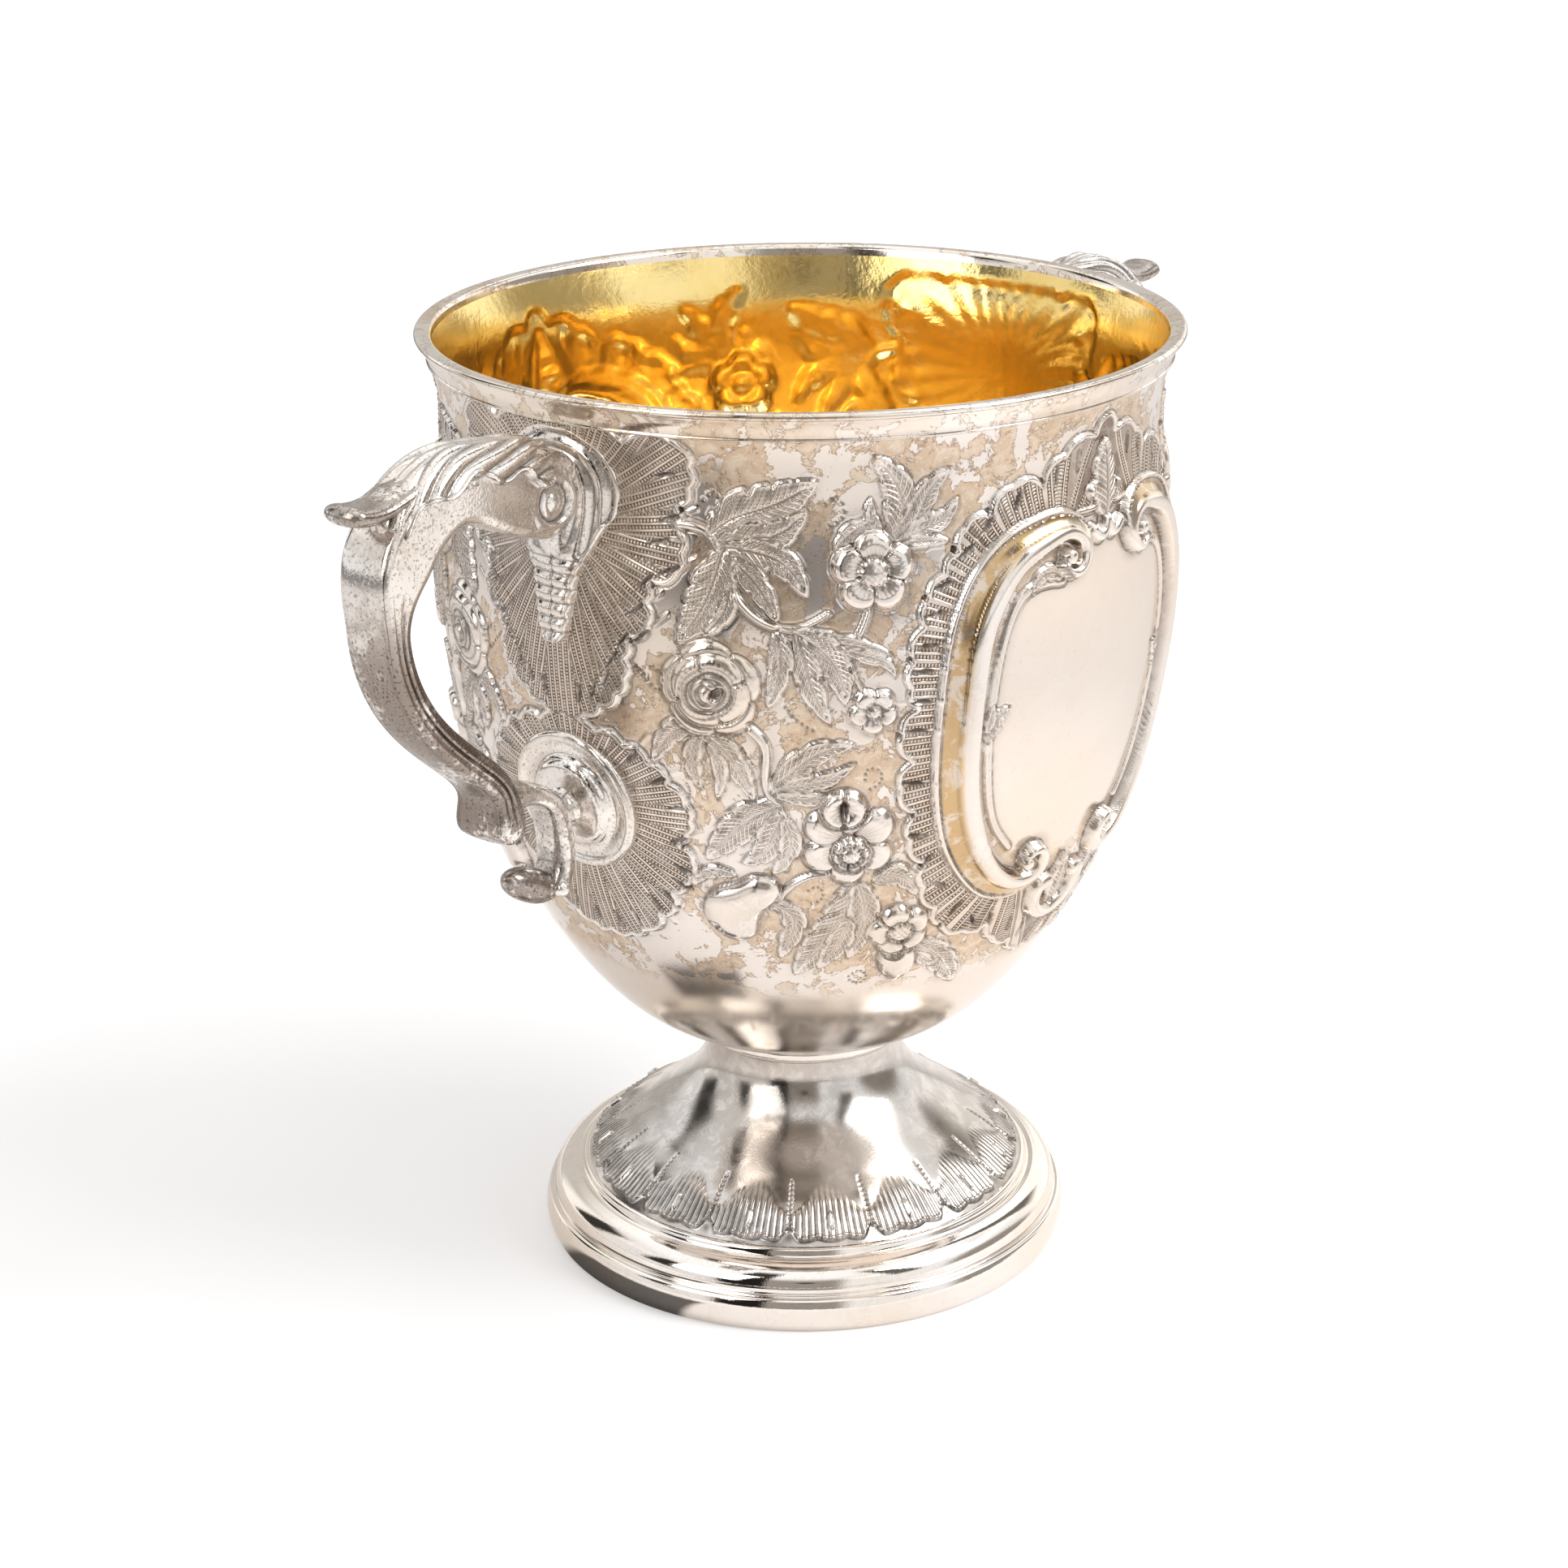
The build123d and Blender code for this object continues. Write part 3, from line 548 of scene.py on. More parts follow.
def scrollFrame():
    line = scroll["line"]
    # border first: its outer edge in scallops, then back up the middle of the scroll
    outline = scroll["border"] + [(97, 70.0), (84, 70.5)] + line[::-1][4:-4] + [(84, 130.0), (97, 130.0)]
    sub, x, y, at = window(outline, 1.2)
    rim = np.vstack([scallops(at[:len(scroll["border"])], 0.2), at[len(scroll["border"]):]])
    edge = insideOf(x, y, rim)
    spine = smoothLine(at[len(scroll["border"]) + 2:-2][::-1], 60)
    t, d = alongLine(x, y, spine)
    length = np.linalg.norm(np.diff(spine, axis=0), axis=1).sum()
    run = t * length
    lay(sub, edge, 0.3 + 0.3 * bump(edge - 0.45, 0.3) + 0.14 * np.cos(2 * pi * run / 4.6), 0.5 * bump(edge - 0.95, 0.2))
    scaled[sub] = np.maximum(scaled[sub] * (edge < 0), ease(edge, 0.8, 1.1))
    scaleAt[sub] = np.where((edge > 0)[..., None], np.stack([d / 0.52, run / 0.98, 0 * d], -1), scaleAt[sub])
    # the roll: a thin outer bead, a sunk band and a round inner roll, winding in to an eye at each end
    sub, x, y, at = window(line, 5.0)
    t, d = alongLine(x, y, smoothLine(at, 150))
    half = np.interp(t, scroll["widthAt"], scroll["width"]) / 2
    v = d / half
    share = ease(half, 1.2, 2.8)
    bead = 1.15 * np.sqrt(np.clip(1 - ((v + 0.86) / 0.15) ** 2, 0, 1))
    band = 0.75 + 0.75 * ease(v, -0.7, 0.2) ** 1.3
    roll = 1.25 + 1.05 * np.sqrt(np.clip(1 - ((v - 0.5) / 0.5) ** 2, 0, 1))
    shaped = np.where(v < -0.7, bead, np.where(v < 0.02, band, np.maximum(roll, band)))
    plain = 0.5 + 1.5 * np.sqrt(np.clip(1 - v**2, 0, 1))
    lay(sub, half - np.abs(d), shaped * share + plain * (1 - share),
        1.0 * bump(v + 0.69, 0.06) * share + 0.35 * bump(v - 0.0, 0.05) * share, soft=0.35)
    amber[sub] = share * ease(v, -0.72, -0.6) * (1 - ease(v, 0.05, 0.3))
    for eye, size in ((line[0], 1.2), (line[-1], 1.1)):
        sub, x, y, _ = window([eye, eye], 2.0)
        rho = np.hypot(x, y)
        lay(sub, size - rho, 1.2 + 0.9 * np.sqrt(np.clip(1 - (rho / size) ** 2, 0, 1)), 0.0 * rho)


def workOrnament():
    # ground work first, then stems, leaves, flowers, the reserve's frame and the punches over them
    shellFan(mirrored(upperFan), (0, 131.0), 26)
    shellFan(mirrored(lowerFan), (0, 89.0), 24)
    stem([(20.1, 133.2), (24.2, 132.4), (26.3, 129.5), (27.6, 125.3), (30.2, 121.6), (33.6, 119.5), (37.8, 119.3), (41.7, 121.2)], 1.5)
    stem([(30.5, 104.0), (32.3, 102), (32.5, 97.8), (33.1, 93.7), (34.4, 92), (35.6, 86.0), (35.2, 81.2)], 1.6)
    stem([(32.9, 74.6), (36.0, 78.5), (41.0, 80.5), (46.4, 78.7), (50.5, 74.5)], 1.3)
    stem([(45.1, 116.2), (47.0, 120.0), (48.3, 126.8)], 1.2)
    stem([(48.3, 106.6), (46.0, 111.0), (44.5, 116.0)], 0.9)
    leaves = [
        ([(25.0, 132.2), (28.5, 134.6), (33.0, 136.2), (40.2, 139.9)], 3.6, 4, 0.30),
        ([(26.0, 131.0), (30.6, 131.6), (34.6, 132.4), (38.8, 135.8)], 2.6, 3, 0.28),
        ([(27.2, 130.3), (31.0, 129.9), (35.2, 128.4), (38.7, 123.7)], 2.3, 3, 0.30),
        ([(27.8, 128.6), (30.4, 126.6), (32.6, 123.8), (34.6, 120.0)], 1.9, 3, 0.25),
        ([(26.8, 129.8), (25.6, 125.8), (24.0, 122.0), (20.1, 116.6)], 3.2, 4, 0.34),
        ([(27.8, 124.8), (27.2, 121.8), (25.8, 119.6), (23.8, 117.6)], 1.4, 2, 0.25),
        ([(34.8, 119.0), (39.0, 117.6), (44.0, 116.8), (50.8, 114.9)], 1.7, 3, 0.28),
        ([(37.0, 118.6), (41.0, 115.8), (43.4, 112.0), (44.2, 107.8)], 2.5, 4, 0.32),
        ([(37.4, 118.0), (38.4, 114.0), (39.6, 109.8), (42.1, 104.9)], 2.0, 3, 0.30),
        ([(34.4, 118.6), (35.0, 115.0), (34.4, 111.4), (33.1, 107.4)], 1.8, 3, 0.28),
        ([(44.4, 115.8), (47.6, 114.8), (50.2, 113.6), (51.4, 111.6)], 1.2, 2, 0.25),
        ([(22.9, 103.2), (19.6, 103.4), (17.2, 101.2), (15.2, 97.6)], 1.9, 3, 0.30),
        ([(22.9, 102.8), (21.6, 100.0), (21.6, 97.2), (22.6, 94.2)], 1.5, 3, 0.28),
        ([(23.4, 103.0), (26.6, 100.6), (28.8, 97.0), (30.8, 92.8)], 1.9, 3, 0.30),
        ([(24.0, 101.4), (25.6, 98.4), (25.6, 95.6), (25.0, 92.6)], 1.2, 2, 0.25),
        ([(33.4, 94.6), (36.4, 97.6), (40.6, 100.6), (45.6, 101.6)], 2.2, 3, 0.30),
        ([(33.6, 94.2), (37.6, 95.4), (41.6, 96.2), (45.8, 98.6)], 1.6, 3, 0.28),
        ([(34.0, 93.8), (38.0, 93.2), (41.4, 93.2), (44.6, 94.4)], 1.2, 2, 0.25),
        ([(34.2, 92.0), (30.4, 90.2), (26.6, 86.8), (22.5, 82.4)], 2.9, 4, 0.34),
        ([(34.8, 90.4), (33.2, 86.8), (31.4, 83.8), (28.2, 82.2)], 2.3, 3, 0.30),
        ([(35.2, 89.8), (36.2, 86.4), (35.4, 83.4), (33.0, 80.4)], 1.7, 2, 0.28),
        ([(33.0, 75.2), (36.2, 73.2), (35.8, 69.2), (33.6, 64.9)], 1.9, 3, 0.30),
        ([(46.6, 79.0), (45.6, 73.6), (42.0, 68.4), (36.2, 61.6)], 3.5, 5, 0.32),
        ([(47.0, 78.6), (48.4, 73.4), (47.6, 68.6), (46.2, 64.6)], 2.5, 4, 0.32),
        ([(46.0, 72.0), (44.6, 68.6), (43.2, 66.0), (40.6, 62.8)], 2.0, 3, 0.28),
        ([(50.9, 130.4), (52.6, 134.4), (52.0, 138.6), (48.4, 143.2)], 2.7, 3, 0.26),
        ([(51.4, 130.6), (54.6, 133.6), (56.6, 137.6), (59.9, 140.6)], 2.2, 3, 0.26),
        ([(51.8, 130.4), (55.6, 132.2), (58.6, 133.2), (61.4, 136.2)], 1.7, 3, 0.26),
        ([(52.0, 130.0), (55.0, 130.6), (58.0, 130.4), (60.0, 130.2)], 1.1, 2, 0.22),
        ([(49.6, 130.6), (48.6, 132.6), (48.0, 134.6), (48.0, 137.2)], 1.3, 2, 0.22),
        ([(57.6, 65.8), (61.6, 64.6), (66.0, 61.4), (71.2, 55.9)], 2.6, 4, 0.30),
        ([(59.0, 64.4), (61.6, 62.6), (63.4, 61.8), (65.0, 62.2)], 1.2, 2, 0.22),
        ([(49.6, 78.6), (53.0, 79.6), (55.4, 78.4), (57.4, 75.4)], 2.0, 3, 0.26),
        ([(47.6, 133.6), (45.8, 132.8), (44.2, 131.6), (42.8, 129.6)], 1.4, 2, 0.22),
        ([(27.0, 79.8), (24.0, 80.4), (21.6, 79.6), (19.6, 77.4)], 1.2, 2, 0.22),
    ]
    for spine, width, lobes, cut in leaves:
        leaf(spine, width, lobes, rise=0.36 + 0.11 * width, cut=cut)
    fruit([(33.6, 79.6), (30.2, 80.1), (26.8, 78.6), (22.9, 77.2), (21.0, 74.6), (21.2, 71.6), (23.6, 69.2), (27.0, 68.3),
           (29.6, 69.4), (30.6, 72.6), (33.0, 75.3), (34.4, 78.0)], 2.0, 3.4)
    leaf([(22.0, 71.9), (22.6, 71.6), (23.2, 71.2), (24.0, 70.6)], 0.8, 2, 0.5)
    fruit([(52.0, 63.6), (53.2, 61.0), (55.5, 59.7), (58.4, 60.6), (59.6, 63.0), (58.4, 65.6), (55.5, 66.6), (53.0, 65.8)], 2.0, 3.2)
    rose((24.6, 109.7), 7.4, lean=0.9)
    flower((48.3, 126.8), 6.1, 5, turn=0.3, rise=1.4, heart=0.36)
    flower((48.3, 106.6), 3.7, 5, turn=0.9, rise=1.0, heart=0.3)
    flower((45.2, 86.0), 7.2, 6, turn=0.5, rise=1.4, heart=0.12, deep=0.7, squash=1.08)
    flower((44.2, 91.4), 3.4, 2, turn=0.0, rise=1.6, heart=0.05, deep=0.85)
    flower((45.5, 84.1), 3.0, 8, turn=0.2, rise=1.7, heart=0.55, deep=0.9)
    flower((55.1, 69.4), 5.0, 5, turn=0.6, rise=1.4, heart=0.38)
    scrollFrame()
    # thin frilled border inside the reserve, its tuft, and the scrolls at the frame's top and foot
    stem([(79.6, 121.6), (76.4, 121.9), (72.4, 121.0), (69.4, 117.0), (67.4, 108.9), (67.0, 100.0), (67.8, 92.0), (70.2, 85.0), (74.0, 80.6)],
         1.5, rise=0.45, taper=0.2)
    leaf([(66.6, 99.6), (67.2, 101.4), (68.2, 103.0), (70.2, 104.4)], 1.5, 3, 0.5, 0.3)
    leaf([(66.4, 101.0), (66.8, 102.6), (67.0, 103.6), (67.2, 105.2)], 0.9, 2, 0.4)
    leaf([(79.4, 121.9), (77.2, 123.2), (75.2, 122.8), (73.6, 120.8)], 1.2, 3, 0.5)
    stem([(86.6, 127.4), (88.4, 126.4), (90.0, 128.6), (88.8, 131.8), (86.8, 133.0)], 2.2, rise=1.3, taper=0.1)
    leaf([(90.0, 129.0), (90.0, 132.6), (90.0, 136.2), (90.0, 140.4)], 3.0, 3, 1.2)
    stem([(86.0, 71.8), (84.2, 71.6), (83.8, 69.4), (86.0, 66.8), (90.0, 65.8), (94.0, 66.8)], 3.0, rise=1.7, taper=0.0)
    leaf([(90.0, 67.0), (90.0, 70.0), (90.0, 72.4), (90.0, 75.6)], 2.2, 3, 1.2)
    # long punches at the fans' and the border's joints
    drops([(18.7, 133.9, 70), (18.9, 126.6, 65), (15.0, 124.7, 50), (14.4, 116.8, 50), (11.5, 115.9, 40), (8.2, 109.6, 25),
           (3.4, 106.4, 8), (18.0, 140.0, 80), (17.0, 130.4, 75), (13.6, 120.6, 55), (9.6, 112.8, 35), (6.0, 107.6, 18)])
    drops([(18.2, 85.2, 70), (18.4, 80.3, 115), (17.8, 77.4, 125), (14.4, 75.4, 140), (12.0, 73.4, 150), (7.0, 70.0, 165),
           (2.4, 68.4, 175), (18.4, 90.4, 85), (15.6, 94.6, 60), (11.6, 98.2, 40)])
    drops([(79.0, 136.6, 8), (83.4, 138.2, 5), (71.6, 134.4, 20), (66.2, 131.6, 35), (62.6, 128.4, 55), (58.6, 124.0, 70), (57.4, 120.0, 80),
           (56.2, 115.6, 85), (55.4, 112.0, 90), (55.2, 107.4, 90), (54.8, 103.0, 92), (54.8, 94.6, 96), (56.2, 85.8, 100),
           (58.2, 81.4, 40), (61.0, 76.8, 120), (65.6, 71.6, 30), (70.0, 68.6, 150), (74.4, 68.0, 170), (80.0, 65.6, 175), (85.0, 63.0, 175)])
    # small round seats where the scallops meet
    drops([(20.4, 135.2, 0), (16.2, 124.3, 0), (12.8, 115.9, 0), (18.8, 84.3, 0), (15.8, 73.2, 0), (60.6, 128.8, 0), (55.9, 122.4, 0),
           (53.6, 113.8, 0), (52.3, 102.4, 0), (55.0, 89.4, 0), (57.6, 80.6, 0), (63.0, 68.8, 0), (76.2, 136.2, 0), (66.4, 133.4, 0)],
          length=1.3, width=1.1)
    for line, count in (([(24.6, 134.5), (26.2, 136.0), (25.2, 138.0), (23.8, 137.0)], 8), ([(42.0, 133.5), (44.0, 135.0), (43.0, 137.5), (41.4, 136.6)], 8),
                        ([(13.2, 112.0), (15.0, 110.4), (16.8, 109.0), (17.6, 111.0), (16.0, 112.4)], 12), ([(35.5, 107.6), (37.4, 105.4), (39.5, 104.0)], 7),
                        ([(48.2, 94.2), (49.8, 95.4), (49.4, 97.2), (47.8, 97.4), (47.4, 95.8)], 10), ([(20.2, 94.6), (20.6, 93.4), (20.2, 92.4)], 5),
                        ([(29.0, 100.8), (29.8, 99.8), (30.4, 98.8)], 4), ([(23.5, 79.0), (25.0, 80.4), (26.3, 80.0)], 6),
                        ([(39.4, 75.0), (41.2, 76.2), (40.4, 78.0), (38.8, 77.4)], 8), ([(47.0, 59.6), (49.0, 58.8), (50.4, 60.2), (48.6, 61.4), (46.8, 60.4)], 11)):
        dots(line, count)


workOrnament()
relief[:] *= ease(gridZ, 54.0, 58.5) * (1 - ease(gridZ, 145.2, 146.4))
print("ornament worked:", relief.shape, "highest", round(float(relief.max()), 2))


def softened(field, reach):
    # running mean over a square of cells, done by sums along each axis
    for axis in (0, 1):
        total = np.cumsum(np.pad(field, [(reach + 1, reach) if a == axis else (0, 0) for a in (0, 1)], mode="edge"), axis=axis)
        width = 2 * reach + 1
        ahead = np.take(total, np.arange(width, total.shape[axis]), axis=axis)
        behind = np.take(total, np.arange(0, total.shape[axis] - width), axis=axis)
        field = (ahead - behind) / width
    return field


reserveEdge = np.interp(gridZ, [77, 82, 88, 100, 112, 119, 124, 127], [78, 71.5, 68.6, 66.6, 67.2, 69.4, 74, 80])
plain = ease(gridPhi, reserveEdge - 0.5, reserveEdge + 1.0) * ease(gridZ, 75, 79) * (1 - ease(gridZ, 124, 127))
plain = np.maximum(plain, 1 - ease(gridZ, 55, 61))
near = softened(relief, 2)
hollow = np.clip((softened(relief, 7) - near) * 1.6, 0, 1)
worn = np.clip((near - softened(relief, 7)) * 1.4, 0, 1)
ground = 1 - ease(np.abs(softened(relief, 3)), 0.04, 0.22)


# the bowl's outer skin in eight sectors
rise = np.gradient(np.stack([rowsR, rowsZ], -1), axis=0)
rise /= np.linalg.norm(rise, axis=1)[:, None]
skinR = gridR + relief * rise[:, 1][:, None]
skinZ = gridZ - relief * rise[:, 0][:, None]
half = len(colsPhi) // 2
chased = []
for quarter, (base, turn) in {"right_back": (0, 1), "left_back": (180, -1), "left_front": (180, 1), "right_front": (360, -1)}.items():
    theta = np.radians(base + turn * gridPhi)
    xyz = np.stack([skinR * np.cos(theta), skinR * np.sin(theta), skinZ], -1)
    for end, cols in {"handle": slice(0, half + 1), "reserve": slice(half, None)}.items():
        marks = {"dark": dark, "hollow": hollow, "worn": worn, "ground": ground, "plain": plain, "scaled": scaled, "scaleAt": scaleAt,
                 "amber": amber}
        piece = makeSheet("bowl_" + quarter + "_" + end, xyz[:, cols], flip=turn > 0, marks={k: v[:, cols] for k, v in marks.items()})
        chased.append(piece)

# gilt inside: the same wall one thickness in, with the outside's relief seen from behind
insideZ = np.concatenate([np.linspace(39.5, 60, 12), np.linspace(62, 105, 38), np.linspace(105.6, 148.6, 80)])
wallIn = np.stack([radiusAt(insideZ), insideZ], -1)
wallRise = np.gradient(wallIn, axis=0)
wallRise /= np.linalg.norm(wallRise, axis=1)[:, None]
wallIn = wallIn + bowl["wall"] * np.stack([-wallRise[:, 1], wallRise[:, 0]], -1)
floorIn = smoothLine([(0.0, 36.7), (7.0, 36.8), (14.5, 37.4), tuple(wallIn[0])], 16)[:-1]
profileIn = np.vstack([floorIn, wallIn])
theta = np.linspace(0, 2 * pi, 660, endpoint=False)
folded = np.abs((np.degrees(theta) + 90) % 180 - 90)
soft = softened(softened(relief, 2), 2)
rowPick = np.clip(np.searchsorted(rowsZ, profileIn[:, 1]), 0, len(rowsZ) - 1)
colPick = np.round(folded / 90 * (len(colsPhi) - 1)).astype(int)
pressed = soft[np.ix_(rowPick, colPick)].T * 1.15
pressed[:, :len(floorIn)] = 0
radiusIn = profileIn[:, 0] + pressed
insideXyz = np.stack([radiusIn * np.cos(theta)[:, None], radiusIn * np.sin(theta)[:, None], np.broadcast_to(profileIn[:, 1], radiusIn.shape)], -1)
giltInside = makeSheet("bowl_gilt_inside", insideXyz, ringU=True, flip=True, marks={"hollow": np.clip(pressed * 0.8, 0, 1)}, weld=True)
print("bowl made")

# lip wire, collar and foot
lipProfile = np.vstack([
    [(55.5, 145.55)],
    smoothLine([(56.2, 145.55), (56.42, 145.7), (56.44, 145.95)], 6),
    smoothLine([(56.3, 146.05), (56.55, 146.9), (57.1, 147.9), (57.75, 148.8)], 16),
    smoothLine([(57.8, 148.9), (58.1, 149.3), (57.95, 149.8), (57.4, 150.0), (56.5, 149.95), (55.8, 149.7), (55.5, 149.2)], 24),
])
lipMoulding = turned("lip_moulding", np.vstack([lipProfile, lipProfile[:1]]), 540)
collarProfile = smoothLine([(15.6, 33.5), (16.6, 33.55), (17.25, 34.1), (17.4, 34.8), (17.3, 35.5), (16.8, 36.0), (15.9, 36.1)], 22)
collarBead = turned("collar_bead", np.vstack([collarProfile, [(13.5, 36.0), (13.5, 33.5)], collarProfile[:1]]), 220)

footRing = {
    "wall": [(42.2, 0.0), (42.75, 1.3), (42.9, 2.6), (42.75, 4.1), (42.3, 5.3)],
    "groove": [(41.9, 5.45), (41.35, 5.55), (41.3, 5.95), (41.45, 6.25)],
    "roll": [(41.3, 6.7), (40.9, 7.9), (40.0, 8.9), (38.8, 9.6), (37.9, 9.85)],
    "fillet": [(37.7, 9.95), (37.1, 9.8), (36.6, 10.2), (36.35, 10.9), (35.7, 11.15)],
    "under": [(34.2, 10.9), (33.95, 9.7), (38.7, 5.4), (41.1, 2.7), (41.1, 0.15), (41.3, 0.0), (42.2, 0.0)],
}
ringProfile = np.vstack([smoothLine(footRing["wall"], 16), smoothLine(footRing["groove"], 8), smoothLine(footRing["roll"], 16),
                         smoothLine(footRing["fillet"], 12), footRing["under"]])
footMoulding = turned("foot_moulding", ringProfile, 480)

footDome = {
    "stations": [(35.7, 11.0), (26.4, 18.6), (19.5, 24.2), (15.9, 30.6), (16.2, 35.4)],
    "lobes": 16,
    "around": 16 * 52,
    "length": 10.5,   # how far the shells reach up the slope
}
domeLine = np.vstack([smoothLine(footDome["stations"], 340)])
domeRun = np.concatenate([[0], np.cumsum(np.linalg.norm(np.diff(domeLine, axis=0), axis=1))])
runs = np.concatenate([np.linspace(0, 13.5, 62), np.linspace(14, domeRun[-1], 26)])
domeProfile = np.stack([np.interp(runs, domeRun, domeLine[:, i]) for i in (0, 1)], -1)
theta = np.linspace(0, 2 * pi, footDome["around"], endpoint=False)
lobe = theta * footDome["lobes"] / (2 * pi)
lobe = (lobe - np.round(lobe))[:, None]
run = runs[None, :]
# each shell: an edge in three scallops, flutes that fade up the slope, a drop in its middle and
# a dotted line between it and the next
edge = run - 1.5 - 1.7 * ease(np.abs(lobe), 0.36, 0.5) + 0.5 * np.abs(np.cos(3 * pi * lobe)) * (np.abs(lobe) < 0.46)
fade = 1 - ease(run, 5.0, footDome["length"] * (0.85 + 0.3 * np.cos(2 * pi * lobe)))
flutes = 0.5 + 0.5 * np.cos(2 * pi * lobe * 13)
domeRelief = ease(edge, -0.1, 0.35) * (0.22 + 0.28 * flutes * fade + 0.2 * fade * np.cos(pi * lobe)) * (1 - ease(run, 7.0, 12.0))
domeRelief = domeRelief + 0.22 * bump(edge - 0.25, 0.25)
dropAt = np.clip(1 - ((run - 4.2) / 1.7) ** 2 - (lobe * 13.4 / 0.55) ** 2, 0, 1)
domeRelief = domeRelief + 0.5 * ease(dropAt, 0, 0.6)
dotPhase = (run / 0.85) % 1.0 - 0.5
dotMark = bump(np.hypot(dotPhase * 0.85, (np.abs(lobe) - 0.5) * 13.4), 0.26) * (run > 2.8) * (run < 11.5)
domeRelief = domeRelief - 0.3 * dotMark
tips = bump(np.hypot(run - 1.7, (np.abs(lobe) - 0.5) * 13.4), 0.7)
domeDark = np.clip(0.85 * bump(edge + 0.12, 0.2) + 0.75 * (1 - flutes) ** 1.5 * fade * (edge > 0) * ease(run, 0.5, 2.0) + dotMark + 0.5 * tips
                   + 0.5 * bump(dropAt - 0.02, 0.05), 0, 1)
under = smoothLine([(14.6, 31.0), (15.2, 27.6), (18.4, 22.9), (25.2, 17.4), (34.0, 10.95)], 18)
crownTop = [(9.0, 35.4), (0.0, 35.4), (0.0, 31.4), (8.0, 31.4)]
whole = np.vstack([domeProfile, crownTop, under])
pad = np.zeros((len(theta), len(whole)))
domeFull, darkFull = pad.copy(), pad.copy()
domeFull[:, :len(runs)] = domeRelief
darkFull[:, :len(runs)] = domeDark
closed = lambda field: np.concatenate([field, field[:, :1]], axis=1)
chasedFoot = turned("foot_chasing", np.vstack([whole, whole[:1]]), len(theta), relief=closed(domeFull),
                    marks={"dark": closed(darkFull), "hollow": closed(darkFull * 0.4), "worn": closed(np.clip(domeFull, 0, 1) * 0.6)})
print("lip and foot made")

# handles, worked at +X and mirrored
handle = {
    "stations": [(61.3, 137.0), (70.9, 139.8), (78.4, 141.1), (85.6, 137.8), (90.6, 130.5), (91.1, 120.5), (86.2, 110.2), (76.7, 101.0),
                 (72.1, 95.6), (71.5, 91.0)],
    "halfWidth": 4.6,
    "headHalf": 6.3, "archHalf": 4.7, "gripHalf": 2.05,
    "crownSpring": 139.5, "crownRise": 6.9, "crownHalf": 4.85,
    "eye": (61.1, 136.0), "eyeRadius": 2.3,
    "leafEnd": 0.36, "leafThick": 0.9,
}


def easedCos(t, start, end, first, last):
    return first + (last - first) * (1 - np.cos(pi * np.clip((t - start) / (end - start), 0, 1))) / 2


def strapHalf(t):
    # half thickness: round head, deep arch, even grip, a little flare at the heel
    arch = easedCos(t, 0.04, 0.2, handle["headHalf"], handle["archHalf"])
    grip = easedCos(t, 0.36, 0.52, handle["archHalf"], handle["gripHalf"])
    return np.where(t < 0.36, arch, grip) + 0.55 * ease(t, 0.93, 1.0)


def frameAlong(stations, count):
    # points, unit directions and left normals along a line in the XZ plane
    line = smoothLine(stations, count)
    run = np.gradient(line, axis=0)
    run /= np.linalg.norm(run, axis=1)[:, None]
    return line, run, np.stack([-run[:, 1], run[:, 0]], -1)


def crownLimit(y, grow=0.0):
    return handle["crownSpring"] + (handle["crownRise"] + grow) * np.sqrt(np.clip(1 - (y / (handle["crownHalf"] + grow)) ** 2, 0, 1))


def softMin(a, b, k):
    h = np.clip(0.5 + 0.5 * (b - a) / k, 0, 1)
    return b * (1 - h) + a * h - k * h * (1 - h)


def bothSides(name, xyz, **options):
    # the same sheet at +X and mirrored at -X
    other = xyz * np.array([-1.0, 1.0, 1.0])
    flip = options.pop("flip", False)
    return [makeSheet("cast_right_" + name, xyz, flip=flip, **options), makeSheet("cast_left_" + name, other, flip=not flip, **options)]


